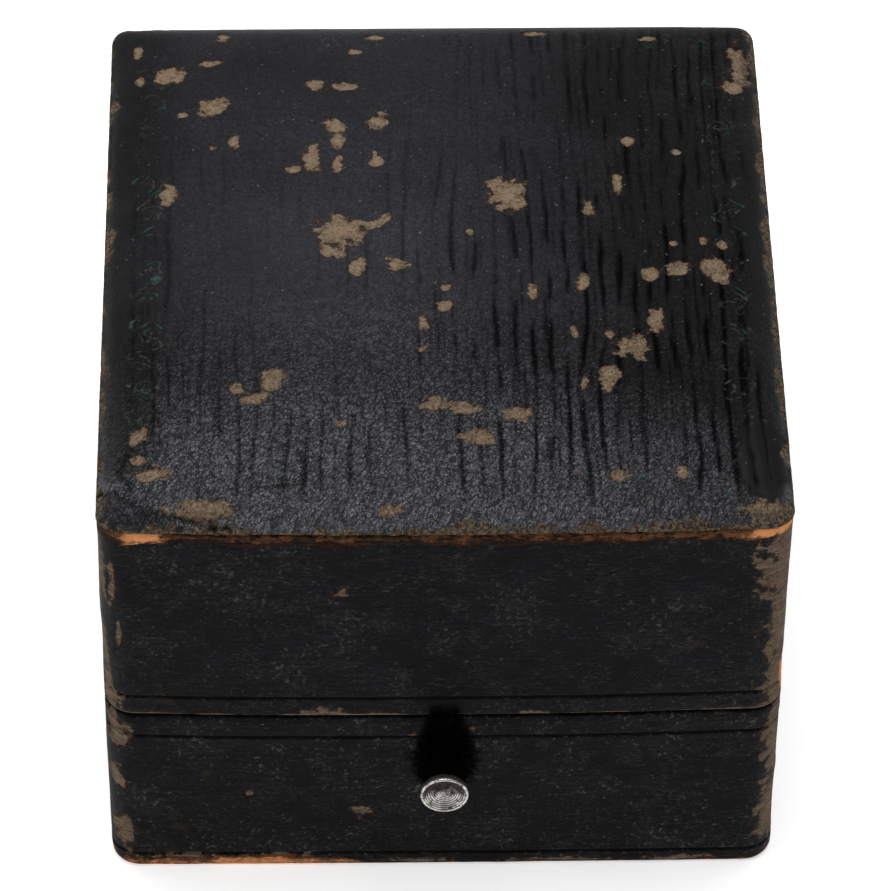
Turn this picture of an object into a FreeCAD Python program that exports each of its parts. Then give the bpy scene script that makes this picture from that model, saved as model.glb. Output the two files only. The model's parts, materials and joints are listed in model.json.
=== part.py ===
import FreeCAD, Part
import math
import os

# Push-button ring case: a small leather-covered wooden box with a hinged, pillow-topped lid.
# Millimetres. X is the width, -Y is the button front, +Y is the hinge back, and Z is up from the
# table. The origin is the middle of the underside.

Vector = FreeCAD.Vector

# --- Overall case ---
case_width = 52.0
case_depth = 57.0
base_height = 17.5  # table to the base's rim
lid_height = 19.9  # lid's rim to its shoulder
seam_gap = 0.2  # between the two rims when shut
crown_height = 2.2  # swell of the lid's top above its shoulder
corner_radius = 2.3  # upright corners, outside the leather

# --- Carcass and covering ---
side_leather = 0.6
top_leather = 0.6
underside_leather = 0.5
rim_leather = 0.4  # pared thin where it is turned over the rims
wall_wood = 2.4
floor_wood = 2.0
lid_wood = 2.0
tooled_line_width = 0.35
tooled_line_depth = 0.15
line_above_table = 1.5
line_below_base_rim = 2.2
line_above_lid_rim = 2.0
crown_power = 4  # how flat the lid's top stays before it rolls down

# --- Hinge ---
hinge_length = 30.0
hinge_inset = 1.3  # pin axis to the case's back face
barrel_radius = 0.85
hinge_pin_radius = 0.35
knuckle_count = 5
knuckle_gap = 0.1
leaf_metal = 0.4
leaf_reach = 7.0  # how far a leaf runs along the wall's inner face
bevel_angle = 50.0  # of each rim behind the pin, so the lid stands at twice this
tack_shank_radius = 0.35
tack_head_radius = 0.65
tack_head = 0.2
tack_length = 1.7
tack_spacing = 10.0
tack_edge = 2.0  # from the end of the leaf to the row of tacks

# --- Push button and catch ---
button_drop = 4.3  # rim to the button's axis
button_travel = 1.0
button_stand = 4.7  # the head's face from the case's front
head_radius = 1.85
head_depth = 1.0
head_dish = 0.4
shank_radius = 0.9
neck_step = 0.3  # neck's radius over the shank's
flange_step = 0.2  # stop flange's radius over the shank's
rim_chamfer = 0.15
flange_depth = 0.3
tip_radius = 0.6
bush_wall = 0.4
tongue_gap = 0.3  # front wall to the lid's catch tongue
tongue_metal = 0.4
tongue_width = 4.0
tongue_drop = 2.6  # below the lid's rim
tab_width = 6.4
eye_width = 2.4
eye_height = 1.2
spring_leaf_metal = 0.3
spring_leaf_width = 5.0
nose_reach = 0.4
nose_width = 1.8
nose_height = 0.7
block_height = 2.1
pocket_width = 9.0
strike_metal = 0.4
strike_width = 12.0
pin_inset = 0.9  # from the side of the catch's pad to its pins
pin_bite = 1.2  # how far the pins of the catch go into the wall
strike_pin_depth = 2.0

# --- Fittings inside ---
collar_card = 1.2  # velvet-covered
collar_stand = 2.5  # above the base's rim
collar_to_wall = 0.3
ledge_card = 1.5
ledge_height = 8.4
pad_card = 0.8
pad_edge = 2.4
pad_crown = 1.2
pad_radius = 1.5
ring_slot = 4.4
lining_card = 0.8
cushion_card = 0.8
cushion_edge = 1.4
cushion_crown = 1.6
cushion_radius = 2.5
velvet_ledge = 0.5

# --- Clearances ---
loose = 0.1  # between pieces that only lie beside each other
running = 0.05  # radial, round the pins and the button's shank
contact = 0.03  # button's tip to the spring leaf
nose_clear = 0.1
swing_clear = 0.3
slot_clear = 0.3  # beside the tongue in the strike plate's slot
lid_clear = 0.5  # top of the collar to the lid's lining

# --- Places worked out from the sizes above ---
half_x = case_width / 2
half_y = case_depth / 2
wood_x = half_x - side_leather
wood_y = half_y - side_leather
inner_x = wood_x - wall_wood
inner_y = wood_y - wall_wood
wood_radius = max(corner_radius - side_leather, 0.5)
base_rim = base_height
lid_rim = base_height + seam_gap
shoulder = lid_rim + lid_height
floor_top = underside_leather + floor_wood
lid_ceiling = shoulder - top_leather - lid_wood
total_height = shoulder + crown_height
hinge_y = half_y - hinge_inset
hinge_z = base_height + seam_gap / 2
button_z = base_rim - button_drop
tongue_front = -inner_y + tongue_gap
tongue_back = tongue_front + tongue_metal
leaf_front = tongue_back + nose_clear + nose_reach
leaf_back = leaf_front + spring_leaf_metal
block_top = floor_top + block_height
leaf_foot = block_top + 2 * loose
pivot_z = leaf_foot + 2 * loose
bush_radius = shank_radius + running + bush_wall
tack_z = base_rim - leaf_reach + tack_edge
leather_drop = rim_leather / math.cos(math.radians(bevel_angle))
ledge_top = base_rim - velvet_ledge
leaf_top = ledge_top - 0.3
leaf_swing = button_travel * (leaf_top - pivot_z) / (button_z - pivot_z)
pocket_back = leaf_back + leaf_swing + swing_clear
collar_top = base_rim + collar_stand
collar_x = inner_x - collar_to_wall
collar_back = inner_y - collar_to_wall
lining_bottom = collar_top + lid_clear
pad_floor = floor_top + ledge_height
pad_front = pocket_back + collar_card
pad_back = collar_back - collar_card
slot_y = (pad_front + pad_back) / 2


# --- Plain shapes ---
def slab(x0, x1, y0, y1, z0, z1):
    """Block between two opposite corners."""
    return Part.makeBox(x1 - x0, y1 - y0, z1 - z0, Vector(x0, y0, z0))


def upright_edges(block):
    """Edges that run along Z."""
    return [e for e in block.Edges if abs(e.Vertexes[0].Z - e.Vertexes[-1].Z) > 0.9 * e.Length]


def rounded_block(x0, x1, y0, y1, z0, z1, radius):
    """Block whose upright corners are rounded."""
    block = slab(x0, x1, y0, y1, z0, z1)
    return block.makeFillet(radius, upright_edges(block))


def rod(radius, start, end):
    """Round bar from one point to another."""
    along = end - start
    return Part.makeCylinder(radius, along.Length, start, along)


def bar_along_x(outline, x0, x1):
    """Bar along X whose end has the given (y, z) corners."""
    points = [Vector(x0, y, z) for y, z in outline]
    face = Part.Face(Part.makePolygon(points + points[:1]))
    return face.extrude(Vector(x1 - x0, 0, 0))


def post_along_z(outline, z0, z1):
    """Post along Z whose plan has the given (x, y) corners."""
    points = [Vector(x, y, z0) for x, y in outline]
    face = Part.Face(Part.makePolygon(points + points[:1]))
    return face.extrude(Vector(0, 0, z1 - z0))


def turned_along_y(outline, z):
    """Turned piece on an axis along Y at the given height, from its edges in (radius, y)."""
    face = Part.Face(Part.Wire(outline))
    face.translate(Vector(0, 0, z))
    return face.revolve(Vector(0, 0, z), Vector(0, 1, 0), 360)


def flipped_to_lid(shape):
    """Mirror image across the seam."""
    return shape.mirror(Vector(0, 0, hinge_z), Vector(0, 0, 1))


def flipped_to_left(shape):
    """Mirror image across the case's middle."""
    return shape.mirror(Vector(0, 0, 0), Vector(1, 0, 0))


def pillow(x0, x1, y0, y1, z_edge, rise, depth):
    """Solid under a top that swells by rise in its middle and rolls down to z_edge at its sides.

    The top runs a little past those sides, so that whatever is cut to them is cut clean.
    """
    steps = 14
    past = 1.05
    rows = []
    for i in range(steps + 1):
        across = past * (2 * i / steps - 1)
        row = []
        for j in range(steps + 1):
            along = past * (2 * j / steps - 1)
            swell = rise * (1 - abs(across) ** crown_power) * (1 - abs(along) ** crown_power)
            x = (x0 + x1) / 2 + across * (x1 - x0) / 2
            y = (y0 + y1) / 2 + along * (y1 - y0) / 2
            row.append(Vector(x, y, z_edge + swell))
        rows.append(row)
    top = Part.BSplineSurface()
    top.interpolate(rows)
    return top.toShape().extrude(Vector(0, 0, -depth))


# --- Carcass: mitred wooden walls, a floor board and a lid board ---
def wall_region(side):
    """The part of the plan that one mitred wall takes, between 45 degree planes at the corners."""
    reach = wall_wood + 1
    out_x, out_y = wood_x + reach, wood_y + reach
    in_x, in_y = wood_x - reach, wood_y - reach
    corners = {
        "front": [(-out_x, -out_y), (out_x, -out_y), (in_x, -in_y), (-in_x, -in_y)],
        "back": [(-out_x, out_y), (out_x, out_y), (in_x, in_y), (-in_x, in_y)],
        "left": [(-out_x, -out_y), (-in_x, -in_y), (-in_x, in_y), (-out_x, out_y)],
        "right": [(out_x, -out_y), (in_x, -in_y), (in_x, in_y), (out_x, out_y)],
    }
    return post_along_z(corners[side], -1, total_height + 1)


def rim_bevel(drop):
    """Wedge behind the pin that a rim loses, so that the lid can swing back."""
    reach = hinge_inset + 2
    fall = reach * math.tan(math.radians(bevel_angle))
    apex = hinge_z - drop
    outline = [
        (hinge_y, apex),
        (hinge_y + reach, apex - fall),
        (hinge_y + reach, hinge_z + 2),
        (hinge_y, hinge_z + 2),
    ]
    return bar_along_x(outline, -half_x - 1, half_x + 1)


def barrel_channel():
    """Room for the hinge's barrel in both rims."""
    reach = hinge_length / 2 + loose
    radius = barrel_radius + 1.5 * loose
    return rod(radius, Vector(-reach, hinge_y, hinge_z), Vector(reach, hinge_y, hinge_z))


def base_leaf_rebate():
    """Room for the base's hinge leaf: across the rim and down the wall's inner face."""
    reach = hinge_length / 2 + loose
    across = slab(-reach, reach, inner_y - 1, hinge_y, base_rim - leaf_metal, base_rim + 1)
    down = slab(-reach, reach, inner_y - 1, inner_y + leaf_metal, base_rim - leaf_reach, base_rim + 1)
    return across.fuse(down)


def tack_places():
    """Where the tacks stand along the leaf."""
    return [-tack_spacing, 0, tack_spacing]


def base_tack_holes(shank, head):
    """Holes through the base's hinge leaf, and on into the wall."""
    holes = []
    for x in tack_places():
        start = Vector(x, inner_y, tack_z)
        holes.append(rod(head, start, start + Vector(0, tack_head, 0)))
        holes.append(rod(shank, start, start + Vector(0, tack_length, 0)))
    return holes


def button_bore():
    """Hole through the front for the button's bush."""
    return rod(bush_radius, Vector(0, -half_y - 1, button_z), Vector(0, -inner_y + 1, button_z))


def base_wood():
    """The base's walls before they are parted at the mitres."""
    ring = rounded_block(-wood_x, wood_x, -wood_y, wood_y, floor_top, base_rim - rim_leather, wood_radius)
    ring = ring.cut(slab(-inner_x, inner_x, -inner_y, inner_y, floor_top - 1, base_rim + 1))
    ring = ring.cut(rim_bevel(leather_drop))
    ring = ring.cut([barrel_channel(), base_leaf_rebate()])
    ring = ring.cut(base_tack_holes(tack_shank_radius + running, tack_head_radius + running))
    return ring.cut(button_bore())


def lid_wood_ring():
    """The lid's walls before they are parted at the mitres."""
    foot = lid_rim + rim_leather
    ring = rounded_block(-wood_x, wood_x, -wood_y, wood_y, foot, lid_ceiling, wood_radius)
    ring = ring.cut(slab(-inner_x, inner_x, -inner_y, inner_y, lid_rim - 1, lid_ceiling + 1))
    ring = ring.cut(flipped_to_lid(rim_bevel(leather_drop)))
    ring = ring.cut([barrel_channel(), flipped_to_lid(base_leaf_rebate())])
    holes = base_tack_holes(tack_shank_radius + running, tack_head_radius + running)
    ring = ring.cut([flipped_to_lid(hole) for hole in holes])
    return ring.cut(tab_pins(running))


def carcass():
    """Wooden pieces, by name."""
    pieces = {}
    base_ring = base_wood()
    lid_ring = lid_wood_ring()
    for side in ("front", "back", "left", "right"):
        pieces["base_wall_" + side] = base_ring.common(wall_region(side))
        pieces["lid_wall_" + side] = lid_ring.common(wall_region(side))
    pieces["base_floor_board"] = rounded_block(
        -wood_x, wood_x, -wood_y, wood_y, underside_leather, floor_top, wood_radius
    )
    board = rounded_block(-wood_x, wood_x, -wood_y, wood_y, lid_ceiling, total_height + 1, wood_radius)
    pieces["lid_top_board"] = board.common(lid_form(-top_leather))
    return pieces


# --- Leather ---
def lid_form(offset):
    """Everything under the lid's pillowed top, raised by offset."""
    depth = total_height + 5
    return pillow(-half_x, half_x, -half_y, half_y, shoulder + offset, crown_height, depth)


def tooled_line(z):
    """Ring that cuts a shallow line round the outside at the given height."""
    z0, z1 = z - tooled_line_width / 2, z + tooled_line_width / 2
    outer = slab(-half_x - 1, half_x + 1, -half_y - 1, half_y + 1, z0, z1)
    x, y = half_x - tooled_line_depth, half_y - tooled_line_depth
    return outer.cut(rounded_block(-x, x, -y, y, z0 - 1, z1 + 1, corner_radius - tooled_line_depth))


def leather():
    """Leather pieces, by name."""
    outer = rounded_block(-half_x, half_x, -half_y, half_y, 0, base_rim, corner_radius)
    under_rim = base_rim - rim_leather
    core = rounded_block(-wood_x, wood_x, -wood_y, wood_y, -1, under_rim, wood_radius)
    core = core.cut(rim_bevel(leather_drop))
    cavity = slab(-inner_x, inner_x, -inner_y, inner_y, -1, base_rim + 1)
    base_side = outer.cut([core, cavity, rim_bevel(0), barrel_channel(), base_leaf_rebate(), button_bore()])
    base_side = base_side.cut([tooled_line(line_above_table), tooled_line(base_rim - line_below_base_rim)])

    block_top_z = total_height + 1
    outer = rounded_block(-half_x, half_x, -half_y, half_y, lid_rim, block_top_z, corner_radius)
    core = rounded_block(-wood_x, wood_x, -wood_y, wood_y, lid_rim + rim_leather, block_top_z + 1, wood_radius)
    core = core.cut(flipped_to_lid(rim_bevel(leather_drop)))
    cavity = slab(-inner_x, inner_x, -inner_y, inner_y, lid_rim - 1, block_top_z + 1)
    lid_side = outer.common(lid_form(-top_leather)).cut(
        [core, cavity, flipped_to_lid(rim_bevel(0)), barrel_channel(), flipped_to_lid(base_leaf_rebate())]
    )
    lid_side = lid_side.cut(tooled_line(lid_rim + line_above_lid_rim))
    plan = rounded_block(-half_x, half_x, -half_y, half_y, lid_ceiling, block_top_z, corner_radius)
    lid_top = plan.common(lid_form(0)).cut(lid_form(-top_leather))
    under = rounded_block(-wood_x, wood_x, -wood_y, wood_y, 0, underside_leather, wood_radius)
    return {
        "base_side_leather": base_side,
        "base_underside_leather": under,
        "lid_side_leather": lid_side,
        "lid_top_leather": lid_top,
    }


# --- Hinge ---
def knuckle_span(index):
    """Start and end along X of one knuckle."""
    pitch = hinge_length / knuckle_count
    start = -hinge_length / 2 + index * pitch
    return start + knuckle_gap / 2, start + pitch - knuckle_gap / 2


def base_hinge_side(knuckles):
    """Hinge leaf for the base's wall with the given knuckles, bent over the rim."""
    half = hinge_length / 2
    low = base_rim - leaf_reach
    tongue_end = hinge_y - barrel_radius - loose
    leaf = slab(-half, half, inner_y, inner_y + leaf_metal, low, base_rim)
    leaf = leaf.fuse(slab(-half, half, inner_y, tongue_end, base_rim - leaf_metal, base_rim))
    for index in knuckles:
        x0, x1 = knuckle_span(index)
        leaf = leaf.fuse(slab(x0, x1, tongue_end - loose, hinge_y, base_rim - leaf_metal, base_rim))
        leaf = leaf.fuse(rod(barrel_radius, Vector(x0, hinge_y, hinge_z), Vector(x1, hinge_y, hinge_z)))
    pin_hole = rod(
        hinge_pin_radius + running, Vector(-half - 1, hinge_y, hinge_z), Vector(half + 1, hinge_y, hinge_z)
    )
    holes = base_tack_holes(tack_shank_radius + running, tack_head_radius + running)
    return leaf.cut([pin_hole] + holes).removeSplitter()


def hinge():
    """Hinge pieces, by name."""
    half = hinge_length / 2
    pin = rod(hinge_pin_radius, Vector(-half, hinge_y, hinge_z), Vector(half, hinge_y, hinge_z))
    tacks = []
    for x in tack_places():
        start = Vector(x, inner_y, tack_z)
        head = rod(tack_head_radius, start, start + Vector(0, tack_head - running, 0))
        tacks.append(head.fuse(rod(tack_shank_radius, start, start + Vector(0, tack_length - running, 0))))
    base_tacks = Part.makeCompound(tacks)
    return {
        "base_hinge_leaf": base_hinge_side(range(0, knuckle_count, 2)),
        "lid_hinge_leaf": flipped_to_lid(base_hinge_side(range(1, knuckle_count, 2))),
        "hinge_pin": pin,
        "base_hinge_tacks": base_tacks,
        "lid_hinge_tacks": flipped_to_lid(base_tacks),
    }


# --- Push button, its bush, the spring leaf and the lid's catch ---
def push_button():
    """Turned steel button: dished head, neck, shank, stop flange and domed tip."""
    face = -half_y - button_stand
    wall = -inner_y
    flange = wall + running
    tip = leaf_front - contact
    neck_radius = shank_radius + neck_step
    flange_radius = shank_radius + flange_step
    axis_dish = Vector(0, face + head_dish, 0)
    edge_dish = Vector(head_radius - rim_chamfer, face, 0)
    mid_dish = Vector(edge_dish.x * 0.55, face + head_dish * 0.62, 0)
    corners = [
        edge_dish,
        Vector(head_radius, face + rim_chamfer, 0),
        Vector(head_radius, face + head_depth * 0.45, 0),
        Vector(neck_radius, face + head_depth, 0),
        Vector(shank_radius, face + head_depth * 1.5, 0),
        Vector(shank_radius, flange, 0),
        Vector(flange_radius, flange, 0),
        Vector(flange_radius, flange + flange_depth, 0),
        Vector(tip_radius, flange + flange_depth, 0),
        Vector(tip_radius, tip - tip_radius, 0),
    ]
    edges = [Part.Arc(axis_dish, mid_dish, edge_dish).toShape()]
    for start, end in zip(corners, corners[1:]):
        edges.append(Part.LineSegment(start, end).toShape())
    slope = math.radians(45)
    mid_tip = Vector(tip_radius * math.cos(slope), tip - tip_radius + tip_radius * math.sin(slope), 0)
    end_tip = Vector(0, tip, 0)
    edges.append(Part.Arc(corners[-1], mid_tip, end_tip).toShape())
    edges.append(Part.LineSegment(end_tip, axis_dish).toShape())
    return turned_along_y(edges, button_z)


def button_bush():
    """Brass tube that guides the button through the leather and the front wall."""
    outer = -half_y + loose
    start, end = Vector(0, outer, button_z), Vector(0, -inner_y, button_z)
    tube = rod(bush_radius, start, end)
    return tube.cut(rod(shank_radius + running, start - Vector(0, 1, 0), end + Vector(0, 1, 0)))


def spring_leaf():
    """Flat steel spring behind the button, with the nose that the lid's tongue hangs on."""
    half = spring_leaf_width / 2
    strip = slab(-half, half, leaf_front, leaf_back, leaf_foot, leaf_top)
    eye_middle = lid_rim - tongue_drop + tongue_metal + eye_height / 2
    z0, z1 = eye_middle - nose_height / 2, eye_middle + nose_height / 2
    y0 = leaf_front - nose_reach
    outline = [(leaf_front + contact, z0), (y0, z0), (y0, z0 + nose_height / 3), (leaf_front + contact, z1)]
    return strip.fuse(bar_along_x(outline, -nose_width / 2, nose_width / 2)).removeSplitter()


def tab_pins(clearance):
    """Pins that hold the lid's catch to its front wall, or their holes."""
    z = (lid_rim + loose + lining_bottom) / 2
    pins = []
    for x in (-tab_width / 2 + pin_inset, tab_width / 2 - pin_inset):
        start = Vector(x, -inner_y - pin_bite - clearance, z)
        pins.append(rod(tack_shank_radius + clearance, start, Vector(x, tongue_back + clearance, z)))
    return pins


def catch_tab():
    """Brass catch on the lid: a pad on the wall, and a tongue with an eye that drops into the base."""
    half = tongue_width / 2
    foot = lid_rim + loose
    pad = slab(-tab_width / 2, tab_width / 2, -inner_y, tongue_back, foot, lining_bottom - loose)
    low = lid_rim - tongue_drop
    tongue = slab(-half, half, tongue_front, tongue_back, low, foot + loose)
    eye_low = low + tongue_metal
    eye = slab(-eye_width / 2, eye_width / 2, tongue_front - 1, tongue_back + 1, eye_low, eye_low + eye_height)
    return pad.fuse(tongue).cut([eye] + tab_pins(running)).removeSplitter()


def strike_pins(clearance):
    """Pins that hold the strike plate down, or their holes."""
    y = (pocket_back - inner_y) / 2
    pins = []
    for x in (-1, 1):
        middle = x * (pocket_width + strike_width) / 4
        top = Vector(middle, y, ledge_top + strike_metal + clearance)
        foot = Vector(middle, y, ledge_top - strike_pin_depth - clearance)
        pins.append(rod(tack_shank_radius + clearance, foot, top))
    return pins


def latch():
    """Latch pieces, by name."""
    strike_half = strike_width / 2
    pocket_half = pocket_width / 2
    slot_half = tongue_width / 2 + slot_clear
    plate = slab(
        -strike_half, strike_half, -inner_y, pocket_back, ledge_top, ledge_top + strike_metal
    )
    slot = slab(
        -slot_half, slot_half, -inner_y + loose, tongue_back + tongue_gap, ledge_top - 1, ledge_top + 1
    )
    block = slab(
        -pocket_half + loose, pocket_half - loose, -inner_y, pocket_back, floor_top, block_top
    )
    filler = slab(pocket_half, inner_x, -inner_y, pocket_back, floor_top, ledge_top)
    filler = filler.cut(strike_pins(running))
    return {
        "push_button": push_button(),
        "button_bush": button_bush(),
        "catch_spring_leaf": spring_leaf(),
        "lid_catch_tab": catch_tab(),
        "lid_catch_pins": Part.makeCompound(tab_pins(0)),
        "strike_plate": plate.cut([slot] + strike_pins(running)),
        "strike_plate_pins": Part.makeCompound(strike_pins(0)),
        "spring_block": block,
        "latch_filler_right": filler,
        "latch_filler_left": flipped_to_left(filler),
    }


# --- Velvet, card and satin inside ---
def base_fittings():
    """What lines and fills the base, by name."""
    pieces = {}
    inside_x = collar_x - collar_card
    pieces["collar_front"] = slab(
        -inside_x, inside_x, pocket_back, pad_front, floor_top, collar_top
    )
    pieces["collar_back"] = slab(-inside_x, inside_x, pad_back, collar_back, floor_top, collar_top)
    side = slab(inside_x, collar_x, pocket_back, collar_back, floor_top, collar_top)
    pieces["collar_right"] = side
    pieces["collar_left"] = flipped_to_left(side)
    ledge = slab(inside_x - ledge_card, inside_x, pad_front, pad_back, floor_top, pad_floor)
    pieces["pad_ledge_right"] = ledge
    pieces["pad_ledge_left"] = flipped_to_left(ledge)
    strip = slab(-inner_x, inner_x, -inner_y, pocket_back, ledge_top, base_rim)
    opening = strike_width / 2 + loose
    pieces["velvet_ledge_right"] = strip.common(slab(opening, inner_x, -half_y, 0, 0, base_rim + 1))
    pieces["velvet_ledge_left"] = flipped_to_left(pieces["velvet_ledge_right"])

    pad_x = inside_x - loose
    halves = {
        "front": (pad_front + loose, slot_y - ring_slot / 2),
        "rear": (slot_y + ring_slot / 2, pad_back - loose),
    }
    for name, (y0, y1) in halves.items():
        card_top = pad_floor + pad_card
        edge = card_top + pad_edge
        pieces[name + "_pad_card"] = slab(-pad_x, pad_x, y0, y1, pad_floor, card_top)
        plan = rounded_block(-pad_x, pad_x, y0, y1, card_top, edge + 2 * pad_crown, pad_radius)
        pieces[name + "_ring_pad"] = plan.common(pillow(-pad_x, pad_x, y0, y1, edge, pad_crown, ledge_height))
    return pieces


def lid_fittings():
    """What lines the lid, by name."""
    pieces = {}
    inside_x = inner_x - lining_card
    inside_y = inner_y - lining_card
    pieces["lid_lining_front"] = slab(
        -inside_x, inside_x, -inner_y, -inside_y, lining_bottom, lid_ceiling
    )
    pieces["lid_lining_back"] = slab(-inside_x, inside_x, inside_y, inner_y, lining_bottom, lid_ceiling)
    side = slab(inside_x, inner_x, -inner_y, inner_y, lining_bottom, lid_ceiling)
    pieces["lid_lining_right"] = side
    pieces["lid_lining_left"] = flipped_to_left(side)
    x, y = inside_x - loose, inside_y - loose
    card_low = lid_ceiling - cushion_card
    pieces["lid_cushion_card"] = slab(-x, x, -y, y, card_low, lid_ceiling)
    edge = card_low - cushion_edge
    hanging = rounded_block(-x, x, -y, y, edge - 2 * cushion_crown, card_low, cushion_radius)
    swell = pillow(-x, x, -y, y, 0, cushion_crown, cushion_edge + cushion_crown)
    swell = swell.mirror(Vector(0, 0, 0), Vector(0, 0, 1))
    swell.translate(Vector(0, 0, edge))
    pieces["lid_satin_cushion"] = hanging.common(swell)
    return pieces


def main():
    """Writes every piece to its own file."""
    os.makedirs("parts", exist_ok=True)
    pieces = {}
    for group in (carcass(), leather(), hinge(), latch(), base_fittings(), lid_fittings()):
        pieces.update(group)
    for name, shape in sorted(pieces.items()):
        solids = shape.Solids
        if not solids or not shape.isValid():
            raise ValueError(name + " did not build")
        whole = solids[0] if len(solids) == 1 else Part.makeCompound(solids)
        whole.exportStep("parts/" + name + ".step")
        box = whole.BoundBox
        print(
            f"{name:26s} {len(solids)} solid(s) {whole.Volume:9.2f} mm3  x {box.XMin:7.2f} {box.XMax:7.2f}"
            f"  y {box.YMin:7.2f} {box.YMax:7.2f}  z {box.ZMin:6.2f} {box.ZMax:6.2f}"
        )


main()
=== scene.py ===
"""Looks of a push-button ring case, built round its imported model.

Lengths are in millimetres in the maker's functions and are turned into metres when a mesh is made.
X is the width, -Y is the button front, +Y is the hinge back, and Z is up from the table.
"""

import json
import math

import bmesh
import bpy
import numpy as np
from mathutils import Matrix, Vector


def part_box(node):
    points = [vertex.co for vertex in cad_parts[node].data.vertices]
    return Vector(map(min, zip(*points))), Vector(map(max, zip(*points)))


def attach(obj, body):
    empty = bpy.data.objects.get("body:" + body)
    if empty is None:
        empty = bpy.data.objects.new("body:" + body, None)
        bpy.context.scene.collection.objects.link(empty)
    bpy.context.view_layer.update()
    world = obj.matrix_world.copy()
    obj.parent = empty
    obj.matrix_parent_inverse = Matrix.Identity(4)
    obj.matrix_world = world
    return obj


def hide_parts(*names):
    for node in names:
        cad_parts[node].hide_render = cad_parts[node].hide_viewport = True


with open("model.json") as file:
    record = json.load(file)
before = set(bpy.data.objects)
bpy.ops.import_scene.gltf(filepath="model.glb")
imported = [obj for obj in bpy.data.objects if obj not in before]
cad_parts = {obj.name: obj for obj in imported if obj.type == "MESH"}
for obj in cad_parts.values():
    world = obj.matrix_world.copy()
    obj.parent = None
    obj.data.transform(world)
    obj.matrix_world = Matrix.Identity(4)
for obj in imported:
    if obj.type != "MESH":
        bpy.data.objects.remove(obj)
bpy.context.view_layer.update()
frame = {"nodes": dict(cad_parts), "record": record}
MM = 0.001


def node_box(name):
    """Lowest and highest corner of a CAD node, in millimetres."""
    low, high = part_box(name)
    return np.array(low) / MM, np.array(high) / MM


# --- Sizes read from the frame ---
TOP_LOW, TOP_HIGH = node_box("lid_top_leather")
LID_LOW = node_box("lid_side_leather")[0]
BASE_HIGH = node_box("base_side_leather")[1]
BOARD_HIGH = node_box("lid_top_board")[1]
PIN_LOW, PIN_HIGH = node_box("hinge_pin")
BUTTON_LOW, BUTTON_HIGH = node_box("push_button")
HALF_X, HALF_Y = TOP_HIGH[0], TOP_HIGH[1]
BASE_RIM, LID_RIM = BASE_HIGH[2], LID_LOW[2]
SIDE_LEATHER = HALF_X - BOARD_HIGH[0]
TOP_LEATHER = TOP_HIGH[2] - BOARD_HIGH[2]
SHOULDER = TOP_LOW[2] + TOP_LEATHER
CROWN = TOP_HIGH[2] - SHOULDER
HINGE_Y, HINGE_Z = (PIN_LOW[1] + PIN_HIGH[1]) / 2, (PIN_LOW[2] + PIN_HIGH[2]) / 2
BUTTON_Z = (BUTTON_LOW[2] + BUTTON_HIGH[2]) / 2

# --- The maker's other sizes, in millimetres ---
CORNER = 2.3  # upright corners of the case
TOP_CORNER = 1.9  # corners of the top leather in plan
RIM_LEATHER = 0.4
WALL = 3.0  # leather and wood together
BEVEL = math.tan(math.radians(50))  # rims behind the pin
CHANNEL = 1.0  # radius of the leather's hollow round the hinge's barrel
CHANNEL_END = 15.1  # half its length
FRONT_BOW = 0.5  # the front stands proud in the middle
LINE_DEPTH = 0.16  # tooled lines
LINE_HALF = 0.2  # half their width
BASE_LINE = BASE_RIM - 2.2
LID_LINE = LID_RIM + 2.0
FOOT_LINE = 1.5


# --- Random fields that come out the same every time ---
def scatter(ix, iy, seed):
    """Repeatable value from 0 to 1 for each cell of a grid."""
    n = ix.astype(np.int64) * 374761393 + iy.astype(np.int64) * 668265263 + seed * 144269504
    n = ((n & 0xFFFFFFFF) ^ ((n & 0xFFFFFFFF) >> 13)) * 1274126177
    n = n & 0xFFFFFFFF
    return ((n ^ (n >> 16)) & 0xFFFF) / 65535.0


def cloud(x, y, seed, octaves=3):
    """Smooth field from 0 to 1 whose lumps are about one unit across, with finer ones on them."""
    x, y = np.broadcast_arrays(np.asarray(x, float), np.asarray(y, float))
    total, weight, share = 0.0, 0.0, 1.0
    for octave in range(octaves):
        gx, gy = np.floor(x), np.floor(y)
        fx, fy = x - gx, y - gy
        fx, fy = fx * fx * (3 - 2 * fx), fy * fy * (3 - 2 * fy)
        near = scatter(gx, gy, seed + octave) * (1 - fx) + scatter(gx + 1, gy, seed + octave) * fx
        far = scatter(gx, gy + 1, seed + octave) * (1 - fx) + scatter(gx + 1, gy + 1, seed + octave) * fx
        total = total + share * (near * (1 - fy) + far * fy)
        weight += share
        x, y, share = x * 2.03 + 17.3, y * 2.03 - 9.1, share * 0.5
    return total / weight


def ease(value, low, high):
    """0 below low, 1 above high, and smooth between."""
    t = np.clip((value - low) / (high - low), 0, 1)
    return t * t * (3 - 2 * t)


# --- Meshes ---
def make_piece(name, points, faces, body, finish, replaces=(), fields=None):
    """Mesh object from points in millimetres, riding a body and standing for the CAD nodes it replaces."""
    mesh = bpy.data.meshes.new(name)
    mesh.from_pydata((np.asarray(points, float) * MM).tolist(), [], faces)
    for field, values in (fields or {}).items():
        painted = mesh.attributes.new(field, "FLOAT", "POINT")
        painted.data.foreach_set("value", np.asarray(values, float).ravel())
    work = bmesh.new()
    work.from_mesh(mesh)
    bmesh.ops.remove_doubles(work, verts=work.verts, dist=2e-7)
    bmesh.ops.recalc_face_normals(work, faces=work.faces)
    work.to_mesh(mesh)
    work.free()
    mesh.polygons.foreach_set("use_smooth", [True] * len(mesh.polygons))
    mesh.materials.append(finish)
    piece = bpy.data.objects.new(name, mesh)
    bpy.context.scene.collection.objects.link(piece)
    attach(piece, body)
    if replaces:
        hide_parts(*replaces)
    return piece


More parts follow.
